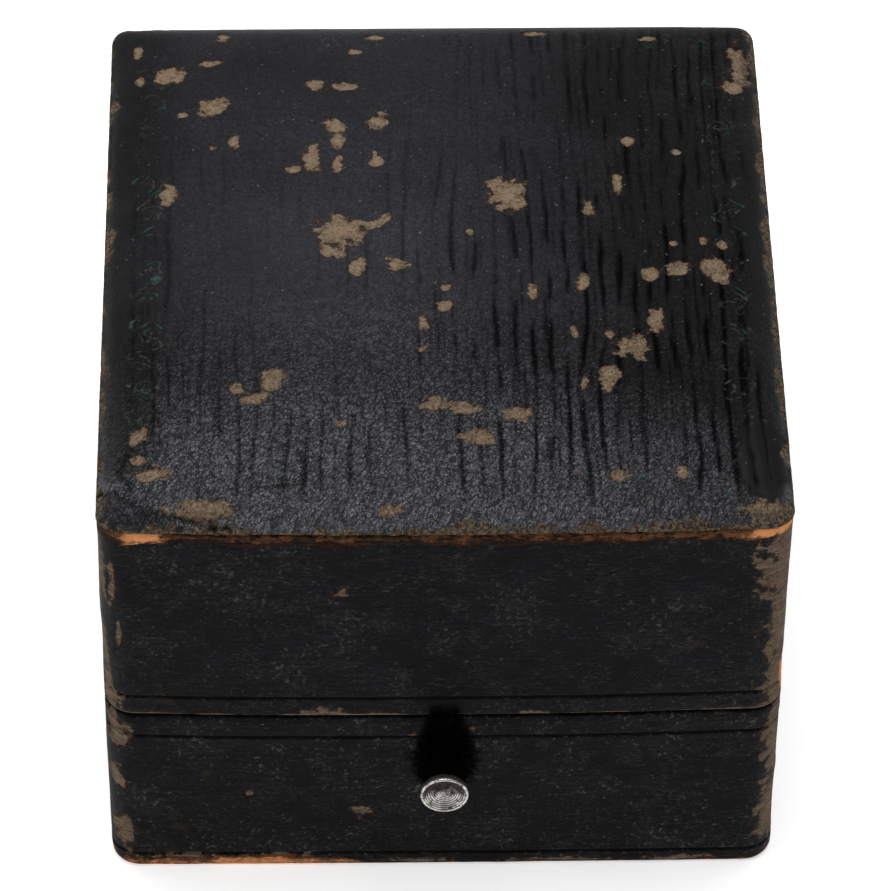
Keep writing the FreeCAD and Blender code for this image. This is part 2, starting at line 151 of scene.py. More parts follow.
def grid_faces(rows, columns, start=0, wrap_rows=False, wrap_columns=False):
    """Quads of a grid whose points run along its columns first."""
    faces = []
    for r in range(rows if wrap_rows else rows - 1):
        for c in range(columns if wrap_columns else columns - 1):
            r2, c2 = (r + 1) % rows, (c + 1) % columns
            faces.append((start + r * columns + c, start + r * columns + c2,
                          start + r2 * columns + c2, start + r2 * columns + c))
    return faces


# --- Shader arithmetic ---
class Socket:
    """A shader output that takes part in arithmetic on numbers."""

    def __init__(self, finish, link):
        self.finish = finish
        self.link = link

    def __add__(self, other):
        return self.finish.math("ADD", self, other)

    def __radd__(self, other):
        return self.finish.math("ADD", other, self)

    def __sub__(self, other):
        return self.finish.math("SUBTRACT", self, other)

    def __rsub__(self, other):
        return self.finish.math("SUBTRACT", other, self)

    def __mul__(self, other):
        return self.finish.math("MULTIPLY", self, other)

    def __rmul__(self, other):
        return self.finish.math("MULTIPLY", other, self)

    def __truediv__(self, other):
        return self.finish.math("DIVIDE", self, other)


class Finish:
    """A material under construction."""

    def __init__(self, name):
        self.material = bpy.data.materials.new(name)
        self.material.use_nodes = True
        self.tree = self.material.node_tree
        self.tree.nodes.clear()

    def node(self, kind, settings=None, sockets=None, out=0):
        """Adds a node: its settings first, then the values or links of its sockets. Gives one output."""
        made = self.tree.nodes.new(kind)
        for key, value in (settings or {}).items():
            setattr(made, key, value)
        for key, value in (sockets or {}).items():
            if isinstance(value, Socket):
                self.tree.links.new(value.link, made.inputs[key])
            elif isinstance(value, tuple) and made.inputs[key].type == "RGBA":
                made.inputs[key].default_value = (*value, 1)
            else:
                made.inputs[key].default_value = value
        return Socket(self, made.outputs[out]) if made.outputs else made

    def math(self, operation, *values):
        """Math node on numbers."""
        return self.node("ShaderNodeMath", {"operation": operation}, dict(enumerate(values)))

    def vector(self, operation, *values, out=0):
        """Vector Math node."""
        return self.node("ShaderNodeVectorMath", {"operation": operation}, dict(enumerate(values)), out)

    def mix(self, low, high, factor, blend="MIX"):
        """Mixes two colours."""
        return self.node("ShaderNodeMix", {"data_type": "RGBA", "blend_type": blend},
                         {0: factor, 6: low, 7: high}, 2)

    def shade(self, colour, amount):
        """Colour times a number."""
        grey = self.node("ShaderNodeCombineColor", sockets={0: amount, 1: amount, 2: amount})
        return self.mix(colour, grey, 1.0, "MULTIPLY")

    def step(self, value, low, high):
        """0 below low, 1 above high, and smooth between."""
        return self.node("ShaderNodeMapRange", {"interpolation_type": "SMOOTHSTEP"},
                         {"Value": value, "From Min": low, "From Max": high})

    def place(self, stretch=(1, 1, 1)):
        """Where a point is on its piece, in millimetres times the stretch."""
        point = self.node("ShaderNodeTexCoord", out="Object")
        return self.vector("MULTIPLY", point, tuple(s / MM for s in stretch))

    def noise(self, where, scale, detail=2.0, rough=0.5, seed=0.0, distortion=0.0):
        """Noise from 0 to 1 with lumps about one over scale across."""
        moved = self.vector("ADD", where, (seed * 7.1, seed * 3.7, seed * 5.3))
        return self.node("ShaderNodeTexNoise", {"noise_dimensions": "3D"},
                         {"Vector": moved, "Scale": scale, "Detail": detail, "Roughness": rough,
                          "Distortion": distortion}, "Fac")

    def field(self, name):
        """A value painted on the piece's points."""
        return self.node("ShaderNodeAttribute", {"attribute_name": name}, out="Fac")

    def bump(self, height):
        """Normal of a surface that is raised by a height in millimetres."""
        return self.node("ShaderNodeBump",
                         sockets={"Strength": 1.0, "Distance": 1.0, "Height": height * MM})

    def surface(self, **sockets):
        """Principled surface from sockets written with underscores for spaces."""
        named = {key.replace("_", " "): value for key, value in sockets.items()}
        return self.node("ShaderNodeBsdfPrincipled", sockets=named)

    def done(self, shader):
        """Closes the material with its surface."""
        self.node("ShaderNodeOutputMaterial", sockets={"Surface": shader})
        return self.material


# --- Finishes ---
TAN_DEEP = (0.070, 0.047, 0.029)
TAN_PALE = (0.220, 0.162, 0.110)
TORN_BROWN = (0.026, 0.013, 0.008)
EMBER_DARK = (0.020, 0.010, 0.006)
EMBER_MID = (0.115, 0.046, 0.020)
EMBER_BRIGHT = (0.60, 0.25, 0.100)


def bare_hide(f, at, wear, seed):
    """Colour of leather that has lost its black, and how much of it shows."""
    torn = f.noise(at, 1.15, 3.0, 0.50, seed)
    fray = f.noise(at, 4.0, 2.0, 0.5, seed + 1)
    amount = wear + (torn - 0.5) * 2.3 + (fray - 0.5) * 0.40 - 0.08
    shows = f.step(amount, -0.03, 0.09)
    halo = f.step(amount, -0.26, 0.0)
    mottle = f.noise(at, 3.6, 5.0, 0.7, seed + 2)
    colour = f.mix(TAN_DEEP, TAN_PALE, f.step(mottle + (amount - 0.3) * 0.20, 0.26, 0.66))
    pores = f.noise(at, 9.0, 1.0, 0.5, seed + 3)
    colour = f.mix(colour, TORN_BROWN, f.step(pores, 0.58, 0.76) * 0.6)
    return colour, shows, halo, mottle


def straight_grain_finish():
    """Worn black goatskin of the lid's top, boarded into straight ridges."""
    f = Finish("straight_grain_black")
    at = f.place()
    wear, groove, shine, crack = f.field("wear"), f.field("groove"), f.field("shine"), f.field("crack")
    along, across = f.field("along"), f.field("across")
    pebbly, polish = f.field("pebble"), f.field("polish")
    hem = 1 - f.step(f.field("inset"), 0.5, 1.9)
    pebble = f.noise(at, 3.8, 2.0, 0.55, 1.0)
    crumb = f.noise(at, 9.5, 1.5, 0.5, 2.0)
    ripple = f.noise(f.place((1.1, 4.6, 1)), 1.0, 2.0, 0.6, 3.0, 0.4)
    drift = f.noise(at, 0.16, 3.0, 0.55, 4.0)
    blister = f.noise(at, 2.1, 3.0, 0.6, 17.0)
    # Glossy islands between fine crazed lines.
    crazed = f.vector("ADD", f.place((1, 0.72, 1)), (blister - 0.5) * 1.3)
    inward = f.node("ShaderNodeTexVoronoi", {"feature": "DISTANCE_TO_EDGE"},
                    {"Vector": crazed, "Scale": 2.9})
    island = 1 - (1 - f.step(inward, 0.0, 0.17)) * f.step(blister, 0.28, 0.58)
    # Tooled scroll border: a running curl on a waving stem.
    period, pitch = 3.3, 0.62
    along = along + (f.noise(at, 0.33, 2.0, 0.5, 9.0) - 0.5) * 3.2
    across = across + (f.noise(at, 0.55, 2.0, 0.5, 10.0) - 0.5) * 1.5
    turn = f.math("FRACT", along / period)
    u = (turn - 0.5) * period
    radius = f.math("SQRT", u * u + across * across)
    angle = f.math("ARCTAN2", across, u) / (2 * math.pi)
    arm = f.math("FRACT", radius / pitch - angle + 8.0)
    curl = 1 - f.step(f.math("ABSOLUTE", arm - 0.5), 0.10, 0.26)
    curl = curl * (1 - f.step(radius, 1.05, 1.30))
    stem_y = f.math("SINE", along * (2 * math.pi / period)) * 1.15
    stem = 1 - f.step(f.math("ABSOLUTE", across - stem_y), 0.10, 0.24)
    tooled = f.math("MAXIMUM", curl, stem * (1 - f.step(f.math("ABSOLUTE", across), 1.25, 1.5)))
    patchy = f.step(f.noise(at, 0.42, 2.0, 0.5, 5.0), 0.42, 0.60)
    tooled = tooled * patchy * f.field("border")
    # Colour: the black is lifted by painted sheen, and the pebbled grain is speckled partly with its own
    # tone and partly with painted glints.
    sheen = f.math("MAXIMUM", f.math("MINIMUM", shine + (drift - 0.5) * 0.7, 1.3), 0.0)
    black = f.mix((0.0010, 0.0010, 0.0015), (0.0215, 0.0205, 0.0275), sheen * 0.77)
    speck = (0.15 + 0.85 * island) * (0.40 + 0.85 * f.step(pebble * 0.5 + crumb * 0.5, 0.36, 0.60))
    fine = f.step(pebble * 0.5 + crumb * 0.5, 0.36, 0.64)
    contrast = (1.0 - pebbly) * (0.75 + 0.5 * fine) + pebbly * (0.10 + 1.45 * speck)
    black = f.shade(black, contrast)
    furrow = f.step(groove, 0.08, 0.82)
    black = f.mix(black, (0.0012, 0.0012, 0.0016), furrow * 0.84)
    black = f.mix(black, (0.0008, 0.0008, 0.0011), polish * 0.85)
    rubbed = tooled * f.step(f.noise(at, 2.3, 3.0, 0.6, 6.0), 0.42, 0.66)
    black = f.mix(black, (0.055, 0.056, 0.044), rubbed * 0.75)
    green = tooled * f.step(f.noise(at, 1.1, 3.0, 0.6, 7.0), 0.55, 0.66)
    black = f.mix(black, (0.006, 0.060, 0.046), green * 0.8)
    lint = f.step(f.noise(at, 3.1, 1.0, 0.5, 8.0), 0.745, 0.785)
    black = f.mix(black, (0.15, 0.16, 0.16), lint * 0.5)
    hide, shows, halo, mottle = bare_hide(f, at, wear, 11.0)
    grey_hem = f.mix((0.020, 0.015, 0.011), (0.150, 0.118, 0.086), f.step(mottle, 0.38, 0.68))
    hide = f.mix(hide, grey_hem, hem * 0.85)
    colour = f.mix(black, TORN_BROWN, halo * 0.8)
    colour = f.mix(colour, hide, shows)
    colour = f.mix(colour, (0.0015, 0.0013, 0.0012), crack)
    # Relief
    height = (pebble * 0.09 + crumb * 0.030 + blister * 0.14 + island * 0.09) * (0.16 + pebbly)
    height = height + ripple * 0.026 * (1 - pebbly * 0.5) - tooled * 0.05
    height = height * (1 - polish * 0.85) - shows * 0.03 + shows * mottle * 0.09 - crack * 0.08
    rough = 0.46 + groove * 0.25 + (1 - shine) * 0.14 - pebbly * 0.10 - polish * 0.22 + shows * 0.45
    shader = f.surface(Base_Color=colour, Roughness=f.math("MINIMUM", rough, 0.95),
                       Specular_IOR_Level=0.13, Normal=f.bump(height))
    waxed = f.surface(Base_Color=colour, Roughness=0.34, Specular_IOR_Level=0.85,
                      Normal=f.bump(height * 1.6))
    glint = f.math("MINIMUM", pebbly * sheen * (0.06 + speck * 0.80) * (1 - polish), 1.0)
    shader = f.node("ShaderNodeMixShader", sockets={0: glint, 1: shader, 2: waxed})
    matte = f.node("ShaderNodeBsdfDiffuse", sockets={"Color": colour, "Normal": f.bump(height)})
    dull = f.math("MAXIMUM", furrow * 0.85, shows)
    return f.done(f.node("ShaderNodeMixShader", sockets={0: dull, 1: shader, 2: matte}))


def side_leather_finish(name, black, dusty, dust, seed):
    """Worn fine-grained black leather of the sides, rubbed to orange-brown along the edges."""
    f = Finish(name)
    at = f.place()
    wear, rust, ember, shadow_and_grime = f.field("wear"), f.field("rust"), f.field("ember"), f.field("shadow_and_grime")
    line = f.field("line")
    grain = f.noise(at, 4.5, 3.0, 0.6, seed)
    scuffs = f.noise(f.place((0.55, 0.55, 5.5)), 1.0, 5.0, 0.65, seed + 1)
    haze = f.noise(at, 0.22, 4.0, 0.6, seed + 2)
    flecks = f.noise(at, 2.4, 3.0, 0.72, seed + 3)
    colour = f.mix(black, dusty, f.step(haze + (scuffs - 0.5) * 0.7, 0.38, 0.72))
    fine = f.step(grain, 0.30, 0.72)
    tone = (0.25 + fine * 1.55) * (0.55 + 0.9 * f.step(scuffs, 0.30, 0.72))
    colour = f.shade(colour, tone)
    bloom = f.noise(f.place((2.4, 2.4, 6.0)), 1.0, 4.0, 0.7, seed + 12)
    patch = f.step(f.noise(at, 0.45, 3.0, 0.6, seed + 13), 0.44, 0.64)
    colour = f.mix(colour, (0.030, 0.030, 0.028), f.step(bloom, 0.50, 0.72) * (0.06 + patch * 0.94))
    colour = f.mix(colour, (0.052, 0.050, 0.042), f.step(flecks + (haze - 0.5) * 0.35, 0.58, 0.74) * dust)
    scratch = f.step(f.noise(f.place((0.35, 0.35, 11.0)), 1.0, 3.0, 0.7, seed + 4), 0.64, 0.76)
    colour = f.mix(colour, (0.024, 0.024, 0.026), scratch * 0.6)
    cracks = f.step(f.noise(f.place((0.5, 0.5, 7.0)), 1.0, 3.0, 0.65, seed + 14), 0.63, 0.70)
    colour = f.mix(colour, (0.0008, 0.0008, 0.0010), cracks * 0.9)
    brown = f.step(f.noise(at, 0.5, 4.0, 0.65, seed + 5), 0.60, 0.74)
    colour = f.mix(colour, (0.014, 0.010, 0.006), brown * dust)
    colour = f.mix(colour, (0.0005, 0.0005, 0.0006), line)
    hide, shows, halo, mottle = bare_hide(f, at, wear, seed + 10)
    hide = f.mix(hide, (0.040, 0.027, 0.018), 0.36 + 0.50 * f.step(scuffs, 0.40, 0.64))
    colour = f.mix(colour, TORN_BROWN, halo * 0.7)
    colour = f.mix(colour, hide, shows)
    streaks = f.noise(f.place((0.8, 0.8, 4.0)), 1.0, 5.0, 0.7, seed + 6)
    frayed = rust + (streaks - 0.5) * 1.1 + (f.noise(at, 3.0, 3.0, 0.6, seed + 7) - 0.5) * 0.7
    rubbed = f.step(frayed, 0.0, 0.16)
    heat = ember + (streaks - 0.5) * 1.3 + (f.noise(at, 1.3, 4.0, 0.65, seed + 8) - 0.5) * 1.5
    heat = heat - 0.55 * (1 - f.step(frayed, 0.0, 1.1))
    low_heat = f.mix(EMBER_DARK, EMBER_MID, f.step(heat, 0.05, 0.60))
    warm = f.mix(low_heat, EMBER_BRIGHT, f.step(heat, 0.55, 1.15))
    splitting = f.noise(f.place((0.45, 0.45, 1.7)), 1.0, 4.0, 0.65, seed + 15)
    split = 1 - f.step(f.math("ABSOLUTE", splitting - 0.5), 0.004, 0.040)
    warm = f.mix(warm, (0.002, 0.0012, 0.001), split * (0.9 - 0.65 * f.step(ember, 0.5, 1.1)))
    colour = f.mix(colour, warm, rubbed)
    height = grain * 0.034 + scuffs * 0.026 + flecks * 0.016 - cracks * 0.03
    height = height - shows * 0.04 + shows * mottle * 0.07 + rubbed * streaks * 0.10
    rough = 0.58 + shows * 0.3 + rubbed * 0.2
    shader = f.surface(Base_Color=colour, Roughness=f.math("MINIMUM", rough, 0.95),
                       Specular_IOR_Level=0.055, Normal=f.bump(height))
    # Painted shadow of the button's head round its shank, with some grime: near-black matte with a few
    # brown specks.
    shadow_speck = f.noise(at, 2.1, 5.0, 0.70, seed + 9)
    shadow_black = f.mix((0.0008, 0.0007, 0.0006), (0.022, 0.013, 0.006), f.step(shadow_speck, 0.56, 0.72) * 0.5)
    matte = f.node("ShaderNodeBsdfDiffuse", sockets={"Color": shadow_black, "Normal": f.bump(height)})
    black_out = f.step(shadow_and_grime + (shadow_speck - 0.5) * 1.5, 0.10, 0.95)
    return f.done(f.node("ShaderNodeMixShader", sockets={0: black_out, 1: shader, 2: matte}))


def underside_finish():
    """Matte black skiver pasted under the base, scuffed brown where it rests."""
    f = Finish("underside_skiver")
    at = f.place()
    grain = f.noise(at, 3.5, 3.0, 0.6, 21.0)
    scuff = f.step(f.noise(f.place((0.6, 2.4, 1)), 0.6, 4.0, 0.65, 22.0), 0.56, 0.72)
    colour = f.mix((0.010, 0.0095, 0.009), (0.060, 0.045, 0.034), scuff)
    return f.done(f.surface(Base_Color=colour, Roughness=0.7 + scuff * 0.2, Specular_IOR_Level=0.25,
                            Normal=f.bump(grain * 0.04)))


def velvet_finish():
    """Midnight-blue cotton velvet, faded and rubbed along its nap."""
    f = Finish("midnight_velvet")
    at = f.place()
    brushed = f.noise(f.place((0.5, 0.7, 0.7)), 0.5, 4.0, 0.6, 31.0, 0.8)
    tufts = f.noise(at, 6.5, 3.0, 0.7, 32.0)
    faded = f.step(f.noise(at, 0.12, 2.0, 0.5, 33.0), 0.40, 0.72)
    colour = f.mix((0.0065, 0.0095, 0.036), (0.0120, 0.0180, 0.062), f.step(brushed, 0.30, 0.72))
    colour = f.mix(colour, (0.034, 0.036, 0.066), faded * 0.4)
    colour = f.mix(colour, (0.003, 0.0045, 0.017), f.step(tufts, 0.46, 0.72) * 0.6)
    return f.done(f.surface(Base_Color=colour, Roughness=0.92, Specular_IOR_Level=0.12, Sheen_Weight=0.38,
                            Sheen_Roughness=0.38, Sheen_Tint=(0.34, 0.40, 0.74),
                            Normal=f.bump(tufts * 0.07 + brushed * 0.04)))


def satin_finish():
    """Aged ivory silk satin with fine ribs of warp and a few tea-coloured stains."""
    f = Finish("ivory_satin")
    at = f.place()
    ribs = f.math("SINE", f.node("ShaderNodeSeparateXYZ", sockets={0: at}, out=0) * 22.0)
    slub = f.noise(f.place((7.0, 0.5, 0.5)), 1.0, 3.0, 0.6, 41.0)
    stain = f.step(f.noise(at, 0.11, 4.0, 0.6, 42.0), 0.54, 0.84)
    foxing = f.step(f.noise(at, 0.9, 2.0, 0.5, 43.0), 0.70, 0.78)
    colour = f.mix((0.70, 0.63, 0.47), (0.58, 0.49, 0.33), stain)
    colour = f.mix(colour, (0.40, 0.27, 0.13), foxing * 0.45)
    colour = f.mix(colour, (0.80, 0.74, 0.60), f.step(slub, 0.5, 0.8) * 0.4)
    return f.done(f.surface(Base_Color=colour, Roughness=0.34 + stain * 0.12, Specular_IOR_Level=0.5,
                            Sheen_Weight=0.25, Sheen_Roughness=0.3, Anisotropic=0.5,
                            Normal=f.bump(ribs * 0.003 + slub * 0.016)))


def wood_finish():
    """Bare, slightly dirty pale beech with long dark pores."""
    f = Finish("bare_beech")
    at = f.place((1.0, 0.12, 1.0))
    rings = f.noise(at, 1.2, 4.0, 0.6, 51.0, 1.2)
    pores = f.step(f.noise(f.place((5.0, 0.35, 5.0)), 1.0, 2.0, 0.5, 52.0), 0.60, 0.74)
    colour = f.mix((0.40, 0.26, 0.145), (0.58, 0.41, 0.25), f.step(rings, 0.3, 0.7))
    colour = f.mix(colour, (0.20, 0.115, 0.055), pores * 0.7)
    return f.done(f.surface(Base_Color=colour, Roughness=0.62 + pores * 0.2, Specular_IOR_Level=0.35,
                            Normal=f.bump(rings * 0.03 - pores * 0.04)))


def brass_finish():
    """Dulled brass with brown tarnish in its low places."""
    f = Finish("dulled_brass")
    at = f.place()
    tarnish_and_shade = f.step(f.noise(at, 0.7, 5.0, 0.65, 61.0), 0.42, 0.70)
    draw = f.noise(f.place((0.6, 9.0, 9.0)), 1.0, 2.0, 0.6, 62.0)
    colour = f.mix((0.66, 0.47, 0.19), (0.24, 0.145, 0.055), tarnish_and_shade)
    return f.done(f.surface(Base_Color=colour, Metallic=1.0 - tarnish_and_shade * 0.25,
                            Roughness=0.30 + tarnish_and_shade * 0.30, Normal=f.bump(draw * 0.006 + tarnish_and_shade * 0.008)))


def turned_steel_finish():
    """Turned steel of the button, bright on the ridges and brown in the grooves of its dish."""
    f = Finish("turned_steel")
    at = f.place()
    cloudy = f.noise(at, 1.6, 4.0, 0.65, 71.0)
    stain = f.step(cloudy, 0.44, 0.66)
    groove = f.step(f.field("groove") + (f.noise(at, 3.2, 3.0, 0.6, 73.0) - 0.5) * 3.4, 0.05, 0.60)
    # The upper half of the dish is painted dark reddish-brown: painted shade where the dish faces down,
    # away from the light.
    tarnish_and_shade = f.step(f.field("tarnish_and_shade") + (cloudy - 0.5) * 1.1, 0.20, 0.82)
    colour = f.mix((0.52, 0.51, 0.50), (0.20, 0.17, 0.15), stain * 0.7)
    colour = f.mix(colour, (0.022, 0.017, 0.014), groove * 0.92)
    colour = f.mix(colour, (0.010, 0.0030, 0.0030), tarnish_and_shade * 0.96)
    # The neck and shank behind the head are painted near-black: painted shadow of the head, with some
    # grime.
    shadow_and_grime = f.step(f.field("shadow_and_grime") + (cloudy - 0.5) * 0.3, 0.3, 0.7)
    colour = f.mix(colour, (0.0016, 0.0012, 0.0010), shadow_and_grime)
    metal = f.surface(Base_Color=colour, Metallic=0.96, Roughness=0.24 + stain * 0.14 + groove * 0.25,
                      Normal=f.bump(cloudy * 0.02 + f.noise(at, 12.0, 2.0, 0.6, 72.0) * 0.004))
    shadow_black = f.node("ShaderNodeBsdfDiffuse", sockets={"Color": colour})
    return f.done(f.node("ShaderNodeMixShader", sockets={0: shadow_and_grime, 1: metal, 2: shadow_black}))


def spring_steel_finish():
    """Dull blued steel of the pin and the catch's spring."""
    f = Finish("spring_steel")
    at = f.place()
    blot = f.step(f.noise(at, 1.1, 4.0, 0.6, 81.0), 0.45, 0.70)
    colour = f.mix((0.34, 0.35, 0.38), (0.14, 0.10, 0.08), blot * 0.7)
    return f.done(f.surface(Base_Color=colour, Metallic=1.0, Roughness=0.34 + blot * 0.25,
                            Normal=f.bump(f.noise(f.place((8, 8, 0.7)), 1.0, 2.0, 0.5, 82.0) * 0.006)))


def card_finish():
    """Straw-coloured pressed board with dark fibres."""
    f = Finish("straw_board")
    at = f.place()
    fibres = f.noise(f.place((1.2, 4.0, 4.0)), 1.0, 4.0, 0.7, 91.0)
    colour = f.mix((0.36, 0.27, 0.15), (0.56, 0.45, 0.28), f.step(fibres, 0.35, 0.65))
    colour = f.mix(colour, (0.18, 0.12, 0.06), f.step(f.noise(at, 2.2, 2.0, 0.5, 92.0), 0.66, 0.74) * 0.6)
    return f.done(f.surface(Base_Color=colour, Roughness=0.85, Specular_IOR_Level=0.2,
                            Normal=f.bump(fibres * 0.05)))


def table_finish():
    """Plain white table."""
    f = Finish("white_table")
    paper = f.noise(f.place(), 0.02, 2.0, 0.5, 95.0)
    colour = f.mix((0.90, 0.90, 0.90), (0.94, 0.94, 0.94), paper)
    return f.done(f.surface(Base_Color=colour, Roughness=0.8, Specular_IOR_Level=0.1,
                            Emission_Color=colour, Emission_Strength=0.45))


# --- Worn places ---
# Losses on the lid's top: middle x, y, half-width, half-length, and turn in degrees.
TOP_LOSSES = [
    (-21.3, 21.2, 1.3, 1.3, 10), (-18.0, 22.4, 0.9, 0.45, 8), (-17.7, 16.9, 1.3, 0.9, 25),
    (-20.1, 16.2, 0.4, 0.4, 0), (-9.6, 19.5, 0.7, 0.8, 0), (-7.2, 19.2, 1.0, 0.45, 0),
    (-16.0, 12.7, 0.5, 0.8, 0), (-17.7, 12.0, 0.5, 0.4, 0), (-8.0, 14.3, 0.8, 0.8, 0),
    (-7.8, 12.6, 0.7, 0.9, 0), (-4.7, 14.9, 0.8, 1.1, 0), (-9.8, 10.3, 0.8, 1.8, 0),
    (-7.8, 9.8, 0.45, 0.9, 0), (-4.7, 10.1, 0.6, 0.9, 0), (-11.4, 9.2, 0.7, 0.45, 0),
    (-21.1, 6.8, 0.7, 1.2, 0), (-7.6, 2.1, 1.9, 1.8, 0), (-5.0, 2.9, 1.5, 0.6, 28),
    (-8.2, -0.2, 1.0, 0.8, 0), (-6.3, -2.0, 0.7, 1.1, 0), (-3.2, -1.6, 0.9, 0.8, 0),
    (-1.4, -11.2, 0.6, 0.6, 0), (-1.4, -8.2, 0.4, 1.0, 0), (0.4, -6.5, 0.6, 0.7, 0),
    (0.4, -4.3, 0.5, 0.5, 0), (5.4, 5.9, 1.5, 1.9, 12), (15.2, 12.3, 0.6, 0.5, 0),
    (14.1, 7.5, 0.4, 1.2, 0), (11.7, 4.4, 0.6, 0.8, 0), (2.4, 1.9, 0.4, 0.4, 0),
    (7.1, -5.1, 0.5, 0.9, 0), (11.0, -3.8, 0.5, 1.1, 0), (18.8, 11.2, 0.5, 0.35, 0),
    (21.1, -1.8, 1.2, 1.0, 0), (21.6, -3.0, 0.7, 1.0, 0), (18.3, -2.2, 0.85, 0.85, 0),
    (16.2, -3.0, 0.8, 0.8, 0), (22.0, 0.7, 0.5, 0.5, 0), (20.6, 0.8, 0.4, 0.5, 0),
    (18.1, 0.6, 0.4, 0.35, 0), (16.4, -8.2, 0.7, 1.5, -12), (14.5, -11.2, 1.3, 1.3, 0),
    (12.6, -14.3, 0.7, 1.4, -10), (12.8, -9.6, 0.5, 0.5, 0), (10.7, -14.9, 0.35, 0.9, 0),
    (-13.0, -14.6, 0.9, 1.2, -20), (-14.3, -16.4, 1.2, 0.6, 20), (-15.6, -15.4, 0.5, 0.5, 0),
    (-0.6, -17.1, 1.4, 0.75, -6), (1.6, -17.6, 1.3, 0.55, -6), (5.7, -18.3, 1.5, 0.65, 6),
    (2.8, -20.5, 1.0, 0.75, 0), (1.4, -20.4, 0.9, 0.3, 0), (-22.9, -19.7, 0.6, 1.1, -20),
    (-21.7, -23.6, 1.1, 0.9, 15), (-22.9, -22.3, 0.6, 0.5, 0), (-7.5, -19.1, 0.6, 0.4, 0),
    (13.0, -24.3, 1.0, 0.5, 0), (17.7, -24.0, 0.6, 0.6, 0), (-23.8, 24.4, 0.4, 1.0, 0),
    (-23.5, 20.6, 0.4, 0.6, 0), (24.6, 22.4, 0.9, 2.6, 0), (23.9, 19.6, 0.9, 1.0, 0),
    (-18.2, -27.1, 2.4, 0.9, 2), (24.0, -27.4, 2.2, 1.0, 14), (-4.0, -26.9, 0.8, 0.5, 0),
    (-6.3, 23.8, 0.8, 0.3, 0), (-17.0, 26.2, 0.6, 0.6, 0), (-4.8, 25.8, 0.9, 0.35, 0),
    (8.0, 26.4, 1.2, 0.3, 0), (17.2, 25.6, 0.7, 0.4, 0), (10.1, -9.6, 0.3, 0.6, 0),
]
# Cracks in the lid's top, each a few points in x, y.
TOP_CRACKS = [
    [(-26.2, -24.6), (-24.4, -25.3), (-22.9, -26.3), (-20.6, -27.5), (-16.0, -28.2)],
    [(-10.6, -22.0), (-10.3, -23.6), (-10.8, -24.6), (-12.6, -24.9), (-14.6, -25.1)],
    [(-23.4, -20.9), (-24.3, -23.0), (-23.6, -24.8)],
]
# Lower edge of the flap that has lifted at the lid's front left corner, in x, y.
FLAP = [(-26.5, -24.4), (-24.4, -25.3), (-22.9, -26.3), (-20.6, -27.5), (-17.5, -28.6)]
# Losses on the sides: middle x, y, z and reach each way.
LID_LOSSES = [
    (26.0, -27.6, 33.2, 2.6, 2.4, 4.8), (26.0, -27.5, 26.5, 2.0, 2.6, 6.5),
    (26.0, -27.4, 20.4, 2.3, 2.2, 3.2), (26.0, -27.5, 18.0, 1.5, 1.8, 1.3),
    (-25.0, -28.3, 31.5, 0.28, 1.0, 2.6), (-24.6, -28.4, 26.6, 0.24, 1.0, 1.8),
    (-25.7, -27.6, 20.6, 0.5, 1.2, 1.3), (-7.7, -29.1, 31.3, 0.8, 0.9, 0.6),
    (-5.3, -29.1, 25.3, 0.45, 0.8, 0.35), (-8.9, -29.1, 17.9, 2.1, 1.4, 0.9),
    (6.6, -29.1, 17.8, 1.3, 1.2, 0.45), (-25.6, -27.7, 18.9, 1.1, 1.2, 1.3),
    (-25.9, -26.9, 24.0, 0.5, 1.4, 3.0), (-26.1, -27.0, 32.5, 0.7, 1.6, 4.2),
    (26.0, -8.0, 36.6, 1.0, 2.2, 0.9), (26.0, 13.0, 18.0, 1.0, 2.4, 0.8),
    (26.1, 27.6, 28.0, 1.4, 1.6, 8.5), (-26.1, 27.7, 33.0, 1.3, 1.4, 4.5),
    (-26.2, 27.4, 21.5, 1.1, 1.2, 2.6), (-26.0, 6.0, 30.0, 0.8, 1.1, 0.7),
    (26.0, -14.0, 25.2, 0.8, 0.7, 0.9), (9.0, 28.5, 31.0, 1.1, 0.8, 0.7),
    (-14.0, 28.5, 24.6, 0.7, 0.8, 1.1), (20.0, 28.5, 36.9, 2.4, 1.0, 0.8),
    (-26.0, -14.0, 17.9, 0.9, 1.8, 0.6),
]
BASE_LOSSES = [
    (26.0, -27.5, 16.8, 1.3, 1.7, 1.2), (26.0, -27.4, 12.8, 1.5, 2.1, 4.2),
    (25.9, -27.4, 5.4, 1.7, 2.2, 4.4), (-25.2, -27.9, 15.6, 1.3, 1.3, 1.9),
    (-25.4, -27.7, 10.0, 0.9, 1.2, 1.3), (-24.8, -28.1, 3.9, 0.9, 1.1, 2.2),
    (-6.3, -28.9, 6.4, 0.95, 0.9, 0.75), (2.1, -28.9, 16.2, 0.8, 0.7, 0.20),
    (-2.2, -28.9, 15.5, 0.5, 0.7, 0.22), (-14.9, -28.9, 8.9, 0.45, 0.7, 0.5),
    (26.1, 27.6, 8.0, 1.4, 1.5, 6.5), (-26.1, 27.6, 11.0, 1.2, 1.4, 4.5),
    (26.0, 4.0, 1.0, 0.8, 3.4, 0.8), (-26.0, -6.0, 0.8, 0.8, 4.2, 0.7),
    (26.0, -11.0, 9.0, 0.8, 0.9, 0.7), (-26.0, 14.0, 12.2, 0.8, 1.0, 0.6),
    (6.0, 28.5, 4.2, 1.2, 0.8, 0.6), (-10.0, 28.5, 0.8, 3.4, 0.8, 0.7),
    (-20.5, -28.9, 0.8, 4.0, 1.6, 0.75), (-13.0, -28.9, 0.9, 3.6, 1.6, 0.65),
    (-2.0, -28.9, 0.5, 3.0, 1.6, 0.35), (9.0, -28.9, 0.4, 4.5, 1.6, 0.35),
    (19.0, -28.9, 0.5, 3.0, 1.6, 0.4),
]


